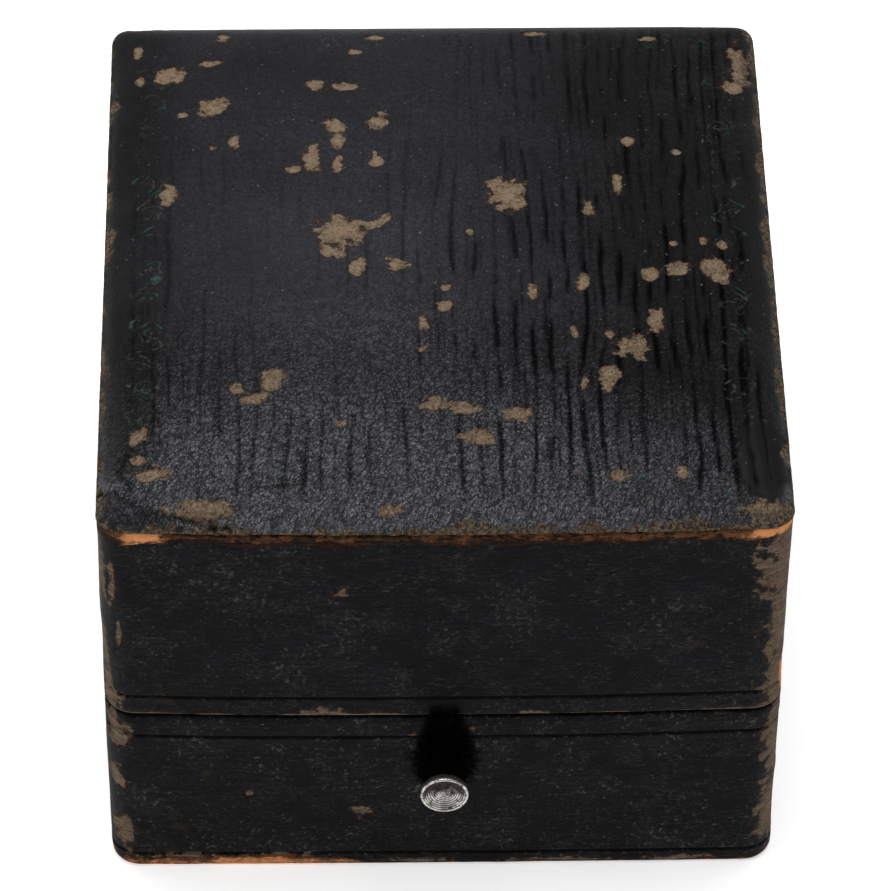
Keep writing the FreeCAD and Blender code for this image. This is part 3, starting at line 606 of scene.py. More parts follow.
def spots(losses, *place):
    """How far inside the nearest loss each point is: 1 at its middle, 0 at its edge, negative outside."""
    count = len(place)
    best = np.full(place[0].shape, -3.0)
    for loss in losses:
        offsets = [p - c for p, c in zip(place, loss[:count])]
        if len(loss) > 2 * count:
            turn = math.radians(loss[-1])
            c, s = math.cos(turn), math.sin(turn)
            offsets = [offsets[0] * c + offsets[1] * s, offsets[1] * c - offsets[0] * s]
        reach = sum((o / r) ** 2 for o, r in zip(offsets, loss[count:2 * count]))
        best = np.maximum(best, 1 - np.sqrt(reach))
    return best


def line_distance(x, y, points):
    """Distance from each point to a bent line."""
    best = np.full(x.shape, 1e3)
    for (x0, y0), (x1, y1) in zip(points, points[1:]):
        dx, dy = x1 - x0, y1 - y0
        t = np.clip(((x - x0) * dx + (y - y0) * dy) / (dx * dx + dy * dy), 0, 1)
        best = np.minimum(best, np.hypot(x - x0 - t * dx, y - y0 - t * dy))
    return best


def inset(x, y, half_x, half_y, radius):
    """Distance of each point inside a rounded rectangle."""
    qx, qy = np.abs(x) - (half_x - radius), np.abs(y) - (half_y - radius)
    return radius - np.hypot(np.maximum(qx, 0), np.maximum(qy, 0)) - np.minimum(np.maximum(qx, qy), 0)


def crown(x, y, sharp):
    """Swell of the lid's top, from 0 at its edge to 1 in the middle."""
    u, v = np.clip(np.abs(x / HALF_X), 0, 1), np.clip(np.abs(y / HALF_Y), 0, 1)
    return (1 - u ** sharp) * (1 - v ** sharp)


def bow(x, y, amount):
    """How far a point at the front moves forward, so that the front swells in the middle."""
    return amount * (1 - np.clip(x / HALF_X, -1, 1) ** 2) * ease(-y, HALF_Y - 9, HALF_Y)


# --- The lid's top ---
def rounded_plan(u, v, half_x, half_y, radius):
    """Plan of a grid from -1 to 1 each way, pulled round at its corners."""
    x, y = u * half_x, v * half_y
    cx, cy = half_x - radius, half_y - radius
    a, b = np.abs(x) - cx, np.abs(y) - cy
    corner = (a > 0) & (b > 0)
    longest = np.maximum(a, b)
    pull = np.where(corner, longest / np.maximum(np.hypot(a, b), 1e-9), 1.0)
    x = np.where(corner, np.sign(x) * (cx + a * pull), x)
    y = np.where(corner, np.sign(y) * (cy + b * pull), y)
    return x, y


def border_loop(columns, rows, start=0):
    """Indices round the edge of a grid of points."""
    bottom = [start + c for c in range(columns)]
    right = [start + r * columns + columns - 1 for r in range(1, rows)]
    top = [start + (rows - 1) * columns + c for c in range(columns - 2, -1, -1)]
    left = [start + r * columns for r in range(rows - 2, 0, -1)]
    return bottom + right + top + left


def grain_grooves(x, y):
    """Depth from 0 to 1 of the boarded grain: narrow wavering grooves that run front to back."""
    sway = (cloud(x / 6.0, y / 18.0, 1, 2) - 0.5) * 2.0 + (cloud(x / 1.4, y / 3.2, 2, 4) - 0.5) * 0.44
    depth = np.zeros(x.shape)
    for pitch, seed, reach, most in ((1.34, 5, 0.19, 0.90), (0.91, 9, 0.12, 0.60), (0.58, 13, 0.08, 0.35)):
        turn = (x + sway) / pitch + seed * 0.37
        number = np.round(turn)
        away = np.abs(turn - number) * pitch
        here = cloud(number * 3.7 + seed, y / 5.0 + number * 1.3, seed, 3)
        broken = ease(here, 0.28, 0.62)
        wide = reach * (0.7 + 0.8 * here)
        depth = np.maximum(depth, most * broken * np.exp(-((away / wide) ** 2)))
    return depth


def lid_top(finish):
    """The worn, boarded and tooled leather over the lid's swell, with its torn edge turned down."""
    columns, rows, coarse = 240, 264, 4
    edge = 0.14
    u, v = np.meshgrid(np.linspace(-1, 1, columns + 1), np.linspace(-1, 1, rows + 1))
    x, y = rounded_plan(u, v, HALF_X - edge, HALF_Y - edge, TOP_CORNER - edge)
    x, y = x.ravel(), y.ravel()
    rim = inset(x, y, HALF_X, HALF_Y, TOP_CORNER)
    # Worn edges: wide along the front and the right, patchy along the left and the back.
    width = 0.10 + 0.28 * ease(-y, 26.5, 28.3) + 0.38 * ease(x, 24.2, 25.8) + 0.16 * ease(-x, 24.2, 25.8)
    width = width + (cloud(x / 1.8, y / 1.8, 21, 4) - 0.5) * 2.5
    wear = np.maximum(spots(TOP_LOSSES, x, y), (width - rim) / 0.6)
    crack = np.full(x.shape, 9.0)
    for points in TOP_CRACKS:
        wander = (cloud(x / 0.9, y / 0.9, 27, 3) - 0.5) * 0.7
        crack = np.minimum(crack, line_distance(x + wander, y - wander, points))
    crack = 1 - ease(crack, 0.04, 0.26)
    # The grain is flattened at the back and strong to the right and towards the front.
    strength = 0.42 + 0.38 * ease(x, -6, 16) + 0.35 * ease(-y, -14, 16)
    strength = strength - 0.26 * ease(y, 8, 22) * ease(-x, -14, 6)
    strength = strength * ease(rim, 0.3, 3.2) * (1 - 0.35 * ease(-y, 24.0, 26.5))
    flat_patch = np.exp(-(((x + 13) / 7.5) ** 2 + ((y + 4) / 13) ** 2))
    strength = np.clip(strength * (1 - 0.55 * flat_patch), 0.05, 1.0)
    groove = grain_grooves(x, y) * strength
    # Painted sheen: broad greyer and blacker places, brightest on the front roll that tips towards the
    # light and darker near the left and right edges, over some uneven tone of the leather's own.
    shine = 0.16 + 0.75 * np.exp(-(((x + 7) / 15) ** 2 + ((y + 1) / 18) ** 2))
    shine = shine + 0.15 * ease(y, 8, 22) * ease(-x, -18, 4) + 0.30 * ease(y, 26.3, 28.3)
    shine = shine + 1.05 * ease(-y, 12, 25.0) * (1 - 0.45 * ease(x, 6, 24))
    shine = shine * (1 - 0.75 * ease(np.abs(x), 20.0, 23.5) * (1 - ease(-y, 22.0, 26.0)))
    shine = shine - 0.30 * ease(x, 4, 20) * (1 - 0.5 * ease(-y, 17.0, 24.5))
    # A smooth black place at the front right corner, and the dark flap at the front left one.
    wobble = (cloud(x / 1.6, y / 1.6, 37, 3) - 0.5) * 0.5
    polish = 1 - ease(np.hypot((x - 23.9) / 2.2, (y + 22.5) / 4.2) + wobble, 0.78, 1.02)
    flap_y = np.interp(x, [p[0] for p in FLAP], [p[1] for p in FLAP], right=-99.0)
    shine = np.clip(shine * (1 - polish) * (1 - 0.75 * ease(flap_y - y, 0.0, 0.3)), 0, 1.3)
    pebble = 0.16 + 0.85 * ease(-y, 2, 20) + 0.25 * ease(x, 4, 18) - 0.1 * flat_patch
    pebble = np.clip(pebble, 0, 1) * (1 - polish)
    # Place along and across the tooled border.
    side = (HALF_X - np.abs(x)) < (HALF_Y - np.abs(y))
    along = np.where(side, y, x) + 40.0
    across = rim - 3.4
    border = ease(1.9 - np.abs(across), 0, 0.3) * (0.35 + 0.65 * ease(-y, -20, -6)) * (1 - polish)
    uneven = (cloud(x / 7.0, y / 7.0, 31, 3) - 0.5) * 0.16 + (cloud(x / 1.3, y / 1.3, 33, 2) - 0.5) * 0.03
    z = SHOULDER - 0.02 + (CROWN - 0.98) * crown(x, y, 4.8) + 0.86 * crown(x, y, 28.0)
    z = z - 0.06 * (1 - ease(rim, 0.1, 0.7))
    ridge = 0.035 * strength * np.cos(2 * math.pi * cloud(x / 0.9, y / 9.0, 35, 2))
    z = z + uneven * ease(rim, 0.3, 3.0) - 0.10 * groove + ridge * ease(rim, 1, 3)
    z = z - 0.07 * ease(wear, -0.05, 0.35) - 0.10 * crack
    z = np.minimum(z, TOP_HIGH[2])
    y = y - bow(x, y, FRONT_BOW)
    points = [np.stack([x, y, z], 1)]
    fields = {"wear": [wear], "groove": [groove], "shine": [shine], "crack": [crack],
              "along": [along], "across": [across], "pebble": [pebble], "polish": [polish],
              "border": [border], "inset": [rim]}
    faces = grid_faces(rows + 1, columns + 1)
    loop = np.array(border_loop(columns + 1, rows + 1))
    count = len(x)
    # The torn edge: four rows turned down and under.
    bx, by = x[loop], y[loop]
    ragged = (cloud(bx / 0.8, by / 0.8, 41, 3) - 0.5) * 0.16
    sx, sy = HALF_X - TOP_CORNER, HALF_Y - TOP_CORNER
    cx, cy = np.clip(bx, -sx, sx), np.clip(by, -sy, sy)
    length = np.hypot(bx - cx, by - cy)
    nx, ny = (bx - cx) / length, (by - cy) / length
    last = loop
    ahead = np.roll(np.arange(len(loop)), -1)
    for out, fall in ((0.11, 0.06), (0.13, 0.13), (0.08, 0.19), (-0.42, 0.22)):
        out = out + ragged * 0.5
        points.append(np.stack([bx + nx * out, by + ny * out, z[loop] - fall - ragged * 0.4], 1))
        here = np.arange(count, count + len(loop))
        count += len(loop)
        faces += [(last[i], last[j], here[j], here[i]) for i, j in enumerate(ahead)]
        for name in fields:
            fields[name].append(fields[name][0][loop] if name != "wear" else np.full(len(loop), 0.75))
        last = here
    # The underside lies on the board.
    uc, vc = np.meshgrid(np.linspace(-1, 1, columns // coarse + 1), np.linspace(-1, 1, rows // coarse + 1))
    xc, yc = rounded_plan(uc, vc, HALF_X - 0.75, HALF_Y - 0.75, TOP_CORNER - 0.75)
    xc, yc = xc.ravel(), yc.ravel()
    zc = SHOULDER - 0.42 + (CROWN - 0.18) * crown(xc, yc, 4.2)
    points.append(np.stack([xc, yc, zc], 1))
    for name in fields:
        fields[name].append(np.zeros(len(xc)))
    faces += grid_faces(rows // coarse + 1, columns // coarse + 1, count)
    inner = border_loop(columns // coarse + 1, rows // coarse + 1, count)
    for i, start in enumerate(inner):
        nearby = [last[(i * coarse + k) % len(last)] for k in range(coarse + 1)]
        faces += [(nearby[k], nearby[k + 1], start) for k in range(coarse)]
        faces.append((nearby[coarse], inner[(i + 1) % len(inner)], start))
    faces = [tuple(int(i) for i in face) for face in faces]
    fields = {name: np.concatenate(values) for name, values in fields.items()}
    return make_piece("lid_top_cover", np.concatenate(points), faces, "lid",
                      finish, ["lid_top_leather"], fields)


# --- The side leathers ---
def spine():
    """Points once round the plan, and the outward direction at each.

    A corner is one point with many directions.
    """
    sx, sy = HALF_X - CORNER, HALF_Y - CORNER
    fine = np.arange(-2.7, 2.75, 0.15)
    front = np.concatenate([np.linspace(-sx, -2.9, 50), fine, np.linspace(2.9, sx, 50)])
    ends = [-CHANNEL_END - 0.02, -CHANNEL_END + 0.02, CHANNEL_END - 0.02, CHANNEL_END + 0.02]
    back = np.sort(np.concatenate([np.linspace(-sx, sx, 104), ends]))[::-1]
    flank = np.linspace(-sy, sy, 120)
    bend = np.radians(np.linspace(0, 90, 13)[1:-1])
    runs = [(front, np.full(front.shape, -sy), 0, -1), (sx, -sy, bend - math.pi / 2),
            (np.full(flank.shape, sx), flank, 1, 0), (sx, sy, bend),
            (back, np.full(back.shape, sy), 0, 1), (-sx, sy, bend + math.pi / 2),
            (np.full(flank.shape, -sx), flank[::-1], -1, 0), (-sx, -sy, bend + math.pi)]
    places, outward = [], []
    for run in runs:
        if len(run) == 4:
            places.append(np.stack([run[0], run[1]], 1))
            outward.append(np.tile([run[2], run[3]], (len(run[0]), 1)).astype(float))
        else:
            places.append(np.tile([run[0], run[1]], (len(run[2]), 1)).astype(float))
            outward.append(np.stack([np.cos(run[2]), np.sin(run[2])], 1))
    return np.concatenate(places), np.concatenate(outward)


def upright_rows(low, high, lines, near=None):
    """Heights of the rows of points up a side: close together at the tooled lines and round the button."""
    rows = list(np.arange(low, high, 0.42))
    for line in lines:
        rows = [z for z in rows if abs(z - line) > 0.36]
        rows += [line + away for away in (-0.30, -LINE_HALF, -0.10, 0, 0.10, LINE_HALF, 0.30)]
    if near:
        rows = [z for z in rows if abs(z - near) > 1.7 or z in lines]
        rows += list(np.arange(near - 1.65, near + 1.40, 0.15))
    return sorted(z for z in rows if low <= z <= high)


def side_cover(name, body, section, lines, hinge_side, losses, rust_of, finish, replaces):
    """Closed band of leather round the case: a section in (inset, height) swept round the plan."""
    places, outward = spine()
    d = np.array([p[0] for p in section])
    z = np.array([p[1] for p in section])
    n = len(places)
    deep = np.tile(d, (n, 1))
    up = np.tile(z, (n, 1))
    x = np.clip(places[:, :1] + outward[:, :1] * (CORNER - deep), deep - HALF_X, HALF_X - deep)
    y = np.clip(places[:, 1:] + outward[:, 1:] * (CORNER - deep), deep - HALF_Y, HALF_Y - deep)
    skin = ease(-deep, -0.45, -0.02)  # 1 on the outer face
    # Tooled lines run all the way round.
    line = np.zeros(up.shape)
    for height in lines:
        wander = 0.03 * (cloud(x / 3, y / 3, 51, 3) - 0.5)
        line = np.maximum(line, 1 - ease(np.abs(up - height - wander), 0.06, LINE_HALF))
    line = line * (deep < 0.01)
    wear = np.where(deep < 0.5, spots(losses, x, y, up), -3.0)
    rim_height = LID_RIM if hinge_side > 0 else BASE_RIM
    if hinge_side > 0:  # the lid's lower edge is rubbed to a thin pale line
        worn_rim = (0.22 + 0.45 * (cloud(x / 2.2, y / 2.2, 53, 4) - 0.5) - np.abs(up - rim_height)) / 0.14
        wear = np.maximum(wear, np.where(deep < 0.4, worn_rim, -3.0))
    rust, ember = rust_of(x, y, up)
    rust = np.where(deep < 0.7, rust, -3.0)
    uneven = (cloud((x + y) / 9.0, up / 6.0, 57, 3) - 0.5) * 0.12
    uneven = uneven + (cloud((x - y) / 1.1, up / 1.1, 59, 2) - 0.5) * 0.02
    lost = 0.06 * ease(wear, -0.05, 0.3) + 0.05 * ease(rust, -0.1, 0.4)
    push = skin * (uneven - lost - LINE_DEPTH * line)
    x = x + outward[:, :1] * push
    y = y + outward[:, 1:] * push
    swell = FRONT_BOW * (0.25 + 0.75 * ease(up, 0, 14))
    y = y - bow(x, y, swell) * ease(-deep, -0.6, -0.2) * (outward[:, 1:] < 0)
    # Hole for the button's shank.
    away = np.hypot(x, up - BUTTON_Z)
    hole = (y < 0) & (deep < 0.01) & (hinge_side < 0)
    y = np.where(hole, y + 0.45 * (1 - ease(away, 0.95, 1.45)), y)
    # Painted shadow of the button's head round its shank, with some grime, and a little of it on the lid
    # above.
    sideways = np.abs(x - 0.1)
    if hinge_side < 0:
        half_width = np.interp(up, [9.0, 10.1, 11.2, 13.1, 15.3, 17.5], [1.5, 1.95, 2.4, 2.65, 2.05, 1.45])
        shadow_and_grime = (1 - ease(sideways / half_width, 0.60, 1.45)) * ease(up, 8.4, 10.4)
    else:
        shadow_and_grime = (1 - ease(sideways / 1.6, 0.4, 1.4)) * (1 - ease(up, LID_RIM, LID_RIM + 2.2))
    shadow_and_grime = np.where(y < 0, shadow_and_grime, 0)
    # The rims fall away behind the pin, and round its barrel.
    plane = HINGE_Z + hinge_side * (y - HINGE_Y) * BEVEL
    barrel = np.abs(x) < CHANNEL_END
    ring = HINGE_Z + hinge_side * np.sqrt(np.clip(CHANNEL ** 2 - (y - HINGE_Y) ** 2, 0, None))
    ring = np.where(barrel & (np.abs(y - HINGE_Y) < CHANNEL), ring, HINGE_Z - hinge_side * 99)
    limit = np.where(y > HINGE_Y, plane, HINGE_Z - hinge_side * 99)
    if hinge_side > 0:
        limit = np.maximum(limit, rim_height)
        stay = lines[0] - 0.32
        squeeze = stay + (up - stay) * (stay - limit) / (stay - rim_height)
        up = np.where((up < stay) & (deep < 0.35), squeeze, up)
        up = np.maximum(up, np.where(deep > 0.3, np.maximum(limit, ring), up))
    else:
        limit = np.minimum(limit, rim_height)
        stay = lines[-1] + 0.32
        squeeze = stay + (up - stay) * (limit - stay) / (rim_height - stay)
        up = np.where((up > stay) & (deep < 0.35), squeeze, up)
        up = np.minimum(up, np.where(deep > 0.3, np.minimum(limit, ring), up))
    y = np.where(barrel & (y > 0), np.maximum(y, HALF_Y - WALL + RIM_LEATHER), y)
    points = np.stack([x.ravel(), y.ravel(), up.ravel()], 1)
    faces = grid_faces(n, len(d), wrap_rows=True, wrap_columns=True)
    fields = {"wear": wear, "rust": rust, "ember": ember, "shadow_and_grime": shadow_and_grime, "line": line}
    return make_piece(name, points, faces, body, finish, replaces, fields)


def lid_edge_rust(x, y, z):
    """Rubbed top edge of the lid's side: brown along the front, glowing orange at the front corners."""
    frayed = (cloud((x + y) / 2.1, z / 2.0, 61, 4) - 0.5) * 1.0
    front = ease(-y, 22.0, 27.0)
    band = 0.25 + 0.80 * front + frayed
    rust = (z - (SHOULDER - 0.24 - band)) / 0.55
    corners = np.exp(-(((x + 22.5) / 1.5) ** 2)) + np.exp(-(((x - 25.0) / 2.2) ** 2))
    ember = 0.24 + 0.12 * ease(x, 2, 10) + 1.35 * corners * front - 0.1 * (1 - front)
    streak = 1 - np.sqrt(((x - 26.2) / 0.9) ** 2 + ((y + 26.0) / 2.2) ** 2 + ((z - 20.4) / 2.6) ** 2)
    rust = np.maximum(rust, streak)
    streak = 1 - np.sqrt(((x - 26.2) / 0.7) ** 2 + ((y + 25.6) / 1.8) ** 2 + ((z - 30.0) / 4.5) ** 2)
    return np.maximum(rust, streak), np.where(streak > -0.2, 0.6, ember)


def foot_rust(x, y, z):
    """Rubbed foot of the base: red-brown along the left of the front and patchy elsewhere."""
    frayed = (cloud((x - y) / 2.6, z / 2.0, 63, 4) - 0.5) * 1.1
    strong = ease(-y, 22.0, 27.5) * (1 - 0.75 * ease(x, -9.0, -5.5))
    rust = (0.15 + 0.80 * strong + frayed - z) / 0.45
    ember = 0.60 + 0.42 * np.exp(-(((x + 15.0) / 5.5) ** 2)) * strong
    return rust, ember


def lid_side(finish):
    """The lid's side leather: turned in over the rim below, and tucked under the torn top above."""
    lip, top = LID_RIM, SHOULDER - 0.27
    section = [(2.9, lip + 2.6), (3.1, lip + 2.6), (3.1, lip + 0.3), (3.05, lip + 0.1), (2.9, lip)]
    section += [(d, lip) for d in np.arange(2.7, 0.30, -0.18)]
    section += [(0.16, lip + 0.01), (0.06, lip + 0.05), (0.01, lip + 0.13)]
    section += [(0.0, z) for z in upright_rows(lip + 0.32, top - 0.30, [LID_LINE])]
    section += [(0.02, top - 0.18), (0.09, top - 0.07), (0.22, top - 0.01), (0.5, top)]
    section += [(SIDE_LEATHER, top - 0.3), (SIDE_LEATHER, lip + RIM_LEATHER), (2.9, lip + RIM_LEATHER)]
    return side_cover("lid_side_cover", "lid", section, [LID_LINE], 1, LID_LOSSES, lid_edge_rust, finish,
                      ["lid_side_leather"])


def base_side(finish):
    """The base's side leather: turned in over the rim above and under the foot below."""
    lip = BASE_RIM
    section = [(2.98, lip - RIM_LEATHER), (2.98, lip - 0.08), (2.9, lip)]
    section += [(d, lip) for d in np.arange(2.7, 0.30, -0.18)]
    section += [(0.16, lip - 0.01), (0.06, lip - 0.05), (0.01, lip - 0.13)]
    rows = upright_rows(0.42, lip - 0.32, [FOOT_LINE, BASE_LINE], BUTTON_Z)
    section += [(0.0, z) for z in rows[::-1]]
    section += [(0.03, 0.22), (0.12, 0.07), (0.30, 0.0), (SIDE_LEATHER - 0.02, 0.0)]
    section += [(SIDE_LEATHER, 0.3), (SIDE_LEATHER, lip - RIM_LEATHER)]
    return side_cover("base_side_cover", "base", section, [FOOT_LINE, BASE_LINE], -1, BASE_LOSSES,
                      foot_rust, finish, ["base_side_leather"])


# --- Soft fittings ---
def padded_block(low, high, radius, cells, swell=None):
    """Points and faces of a block with rounded edges; swell moves its points."""
    low, high = np.array(low, float), np.array(high, float)
    middle, half = (low + high) / 2, (high - low) / 2
    radius = min(radius, *(half * 0.999))
    ticks = []
    for axis in range(3):
        bend = np.tan(np.linspace(0, math.pi / 4, 5)) * radius
        flat = half[axis] - radius
        middle_ticks = np.linspace(-flat, flat, cells[axis] + 1)
        ticks.append(np.concatenate([-flat - bend[:0:-1], middle_ticks, flat + bend[1:]]))
    size = [len(t) for t in ticks]
    index, points, faces = {}, [], []

    def corner(key):
        """Number of the point at three ticks, made when it is first asked for."""
        if key not in index:
            index[key] = len(points)
            points.append([ticks[a][key[a]] for a in range(3)])
        return index[key]

    for axis in range(3):
        a, b = [k for k in range(3) if k != axis]
        for end in (0, size[axis] - 1):
            for i in range(size[a] - 1):
                for j in range(size[b] - 1):
                    quad = []
                    for di, dj in ((0, 0), (1, 0), (1, 1), (0, 1)):
                        key = [0, 0, 0]
                        key[axis], key[a], key[b] = end, i + di, j + dj
                        quad.append(corner(tuple(key)))
                    faces.append(tuple(quad))
    p = np.array(points)
    core = np.clip(p, -(half - radius), half - radius)
    off = p - core
    length = np.linalg.norm(off, axis=1, keepdims=True)
    p = core + off / np.maximum(length, 1e-9) * radius
    p = p + middle
    if swell is not None:
        p = swell(p, low, high)
    return p, faces


def velvet_strip(name, node, radius, cells, finish):
    """Velvet-covered strip of card with soft edges and a slightly uneven nap."""
    low, high = node_box(node)

    def nap(p, low, high):
        """Nap that is thicker in one place than in another."""
        wave = (cloud((p[:, 0] + p[:, 1]) / 3.0, p[:, 2] / 3.0, 71, 3) - 0.5) * 0.10
        thin = int(np.argmin(high - low))
        sign = np.sign(p[:, thin] - (low[thin] + high[thin]) / 2)
        p[:, thin] += sign * (wave - 0.06)
        return p

    points, faces = padded_block(low, high, radius, cells, nap)
    return make_piece(name, points, faces, "base", finish, [node])


def ring_pad(name, node, slot_side, finish):
    """Velvet pad: fullest along the slot that grips the ring, pinched down along its glued edges."""
    low, high = node_box(node)

    def stuffed(p, low, high):
        """Crowned top that falls to its edges, dented where a ring has stood."""
        u = (p[:, 0] - low[0]) / (high[0] - low[0]) * 2 - 1
        v = (p[:, 1] - low[1]) / (high[1] - low[1]) * 2 - 1
        lift = ease(p[:, 2], low[2] + 0.8, high[2])
        full = (1 - np.abs(u) ** 6) * (1 - np.abs(v) ** 4)
        lean = 0.5 + 0.5 * slot_side * v
        dent = np.exp(-((p[:, 0] / 2.6) ** 2)) * np.exp(-(((v - slot_side * 0.95) / 0.22) ** 2))
        crease = (cloud(p[:, 0] / 4.0, p[:, 1] / 1.4, 73, 3) - 0.5) * 0.22
        p[:, 2] += lift * (-0.85 * (1 - full) - 0.35 * full * (1 - lean) + crease - 0.45 * dent - 0.12)
        sides = ease(np.abs(u), 0.96, 1.0)
        p[:, 0] -= np.sign(u) * sides * 0.25 * (cloud(p[:, 1] / 1.8, p[:, 2] / 1.2, 75, 2))
        return p

    points, faces = padded_block(low, high, 1.3, (90, 44, 6), stuffed)
    pad = make_piece(name, points, faces, "base", finish, [node])
    return pad


def slot_turn_in(name, card, slot_side, finish):
    """Velvet of a pad, turned down over its card's edge along the ring's slot."""
    low, high = node_box(card)
    edge = high[1] if slot_side > 0 else low[1]
    near, far = sorted((edge, edge + slot_side * 0.14))

    def tuck(p, low, high):
        """Uneven cut edge below the card."""
        p[:, 2] += np.where(p[:, 2] < low[2] + 0.3, 0.25 * cloud(p[:, 0] / 1.7, p[:, 1], 93, 2), 0)
        return p

    low, high = (low[0], near, low[2] - 0.5), (high[0], far, high[2] + 0.9)
    points, faces = padded_block(low, high, 0.06, (86, 1, 6), tuck)
    return make_piece(name, points, faces, "base", finish)


def satin_strip(name, node, cells, finish):
    """Satin-covered card strip of the lid's lining, lightly puckered along its edges."""
    low, high = node_box(node)

    def pucker(p, low, high):
        """Puckers on the face that is seen, deepest at its two long edges."""
        thin = int(np.argmin(high - low))
        middle = (low[thin] + high[thin]) / 2
        run = p[:, 1 - thin]
        edge = ease(np.abs(p[:, 2] - (low[2] + high[2]) / 2) / (high[2] - low[2]) * 2, 0.55, 1.0)
        fold = (cloud(run / 1.3, p[:, 2] / 7.0, 77, 3) - 0.5) * (0.10 + 0.22 * edge)
        soft = (cloud(run / 9.0, p[:, 2] / 9.0, 79, 2) - 0.5) * 0.12
        outward = np.sign(middle)
        seen = (p[:, thin] - middle) * outward < 0
        p[:, thin] -= outward * np.where(seen, fold + soft - 0.10, 0)
        return p

    points, faces = padded_block(low, high, 0.3, cells, pucker)
    return make_piece(name, points, faces, "lid", finish, [node])


def satin_cushion(finish):
    """Satin pillow in the lid: full in the middle, with gathers that fan from its corners and edges."""
    low, high = node_box("lid_satin_cushion")

    def plump(p, low, high):
        """Pillow that hangs from the board, with gathers and a fan of folds at each corner."""
        u = (p[:, 0] - low[0]) / (high[0] - low[0]) * 2 - 1
        v = (p[:, 1] - low[1]) / (high[1] - low[1]) * 2 - 1
        hang = ease(high[2] - p[:, 2], 0.4, high[2] - low[2])
        full = np.clip(1 - np.abs(u) ** 3.2, 0, 1) ** 0.8 * np.clip(1 - np.abs(v) ** 3.2, 0, 1) ** 0.8
        edge = np.maximum(np.abs(u), np.abs(v))
        along = np.where(np.abs(u) > np.abs(v), p[:, 1], p[:, 0])
        gathers = (cloud(along / 1.15, edge * 2.0, 81, 3) - 0.5) * ease(edge, 0.40, 0.90) * 1.7
        diagonal = np.abs(np.abs(u) - np.abs(v))
        fan = np.cos(diagonal * 26.0 + 3.0 * cloud(u * 3, v * 3, 83, 2)) * 0.26 * np.exp(-diagonal * 3)
        fan = fan * ease(edge, 0.5, 0.95)
        drape = (cloud(p[:, 0] / 7.0, p[:, 1] / 7.0, 85, 3) - 0.5) * 1.0 * full
        p[:, 2] += hang * (2.0 * (1 - full) - gathers - fan - drape)
        p[:, 2] = np.maximum(p[:, 2], low[2] - 0.3)
        return p

    points, faces = padded_block(low, high, 1.2, (110, 122, 4), plump)
    cushion = make_piece("lid_satin_pillow", points, faces, "lid", finish,
                         ["lid_satin_cushion"])
    return cushion


def underside_sheet(finish):
    """Skiver pasted under the base, a little cockled."""
    low, high = node_box("base_underside_leather")

    def cockle(p, low, high):
        """Round corners inside the side leather, and a cockled lower face."""
        cx = np.clip(p[:, 0], -(HALF_X - CORNER), HALF_X - CORNER)
        cy = np.clip(p[:, 1], -(HALF_Y - CORNER), HALF_Y - CORNER)
        reach = np.hypot(p[:, 0] - cx, p[:, 1] - cy)
        keep = np.minimum(1.0, (CORNER - SIDE_LEATHER - 0.03) / np.maximum(reach, 1e-6))
        p[:, 0], p[:, 1] = cx + (p[:, 0] - cx) * keep, cy + (p[:, 1] - cy) * keep
        under = p[:, 2] < (low[2] + high[2]) / 2
        p[:, 2] += np.where(under, 0.08 * cloud(p[:, 0] / 6.0, p[:, 1] / 6.0, 91, 3), 0)
        return p

    points, faces = padded_block(low, high, 0.2, (60, 66, 2), cockle)
    return make_piece("base_underside_skiver", points, faces, "base", finish,
                      ["base_underside_leather"])


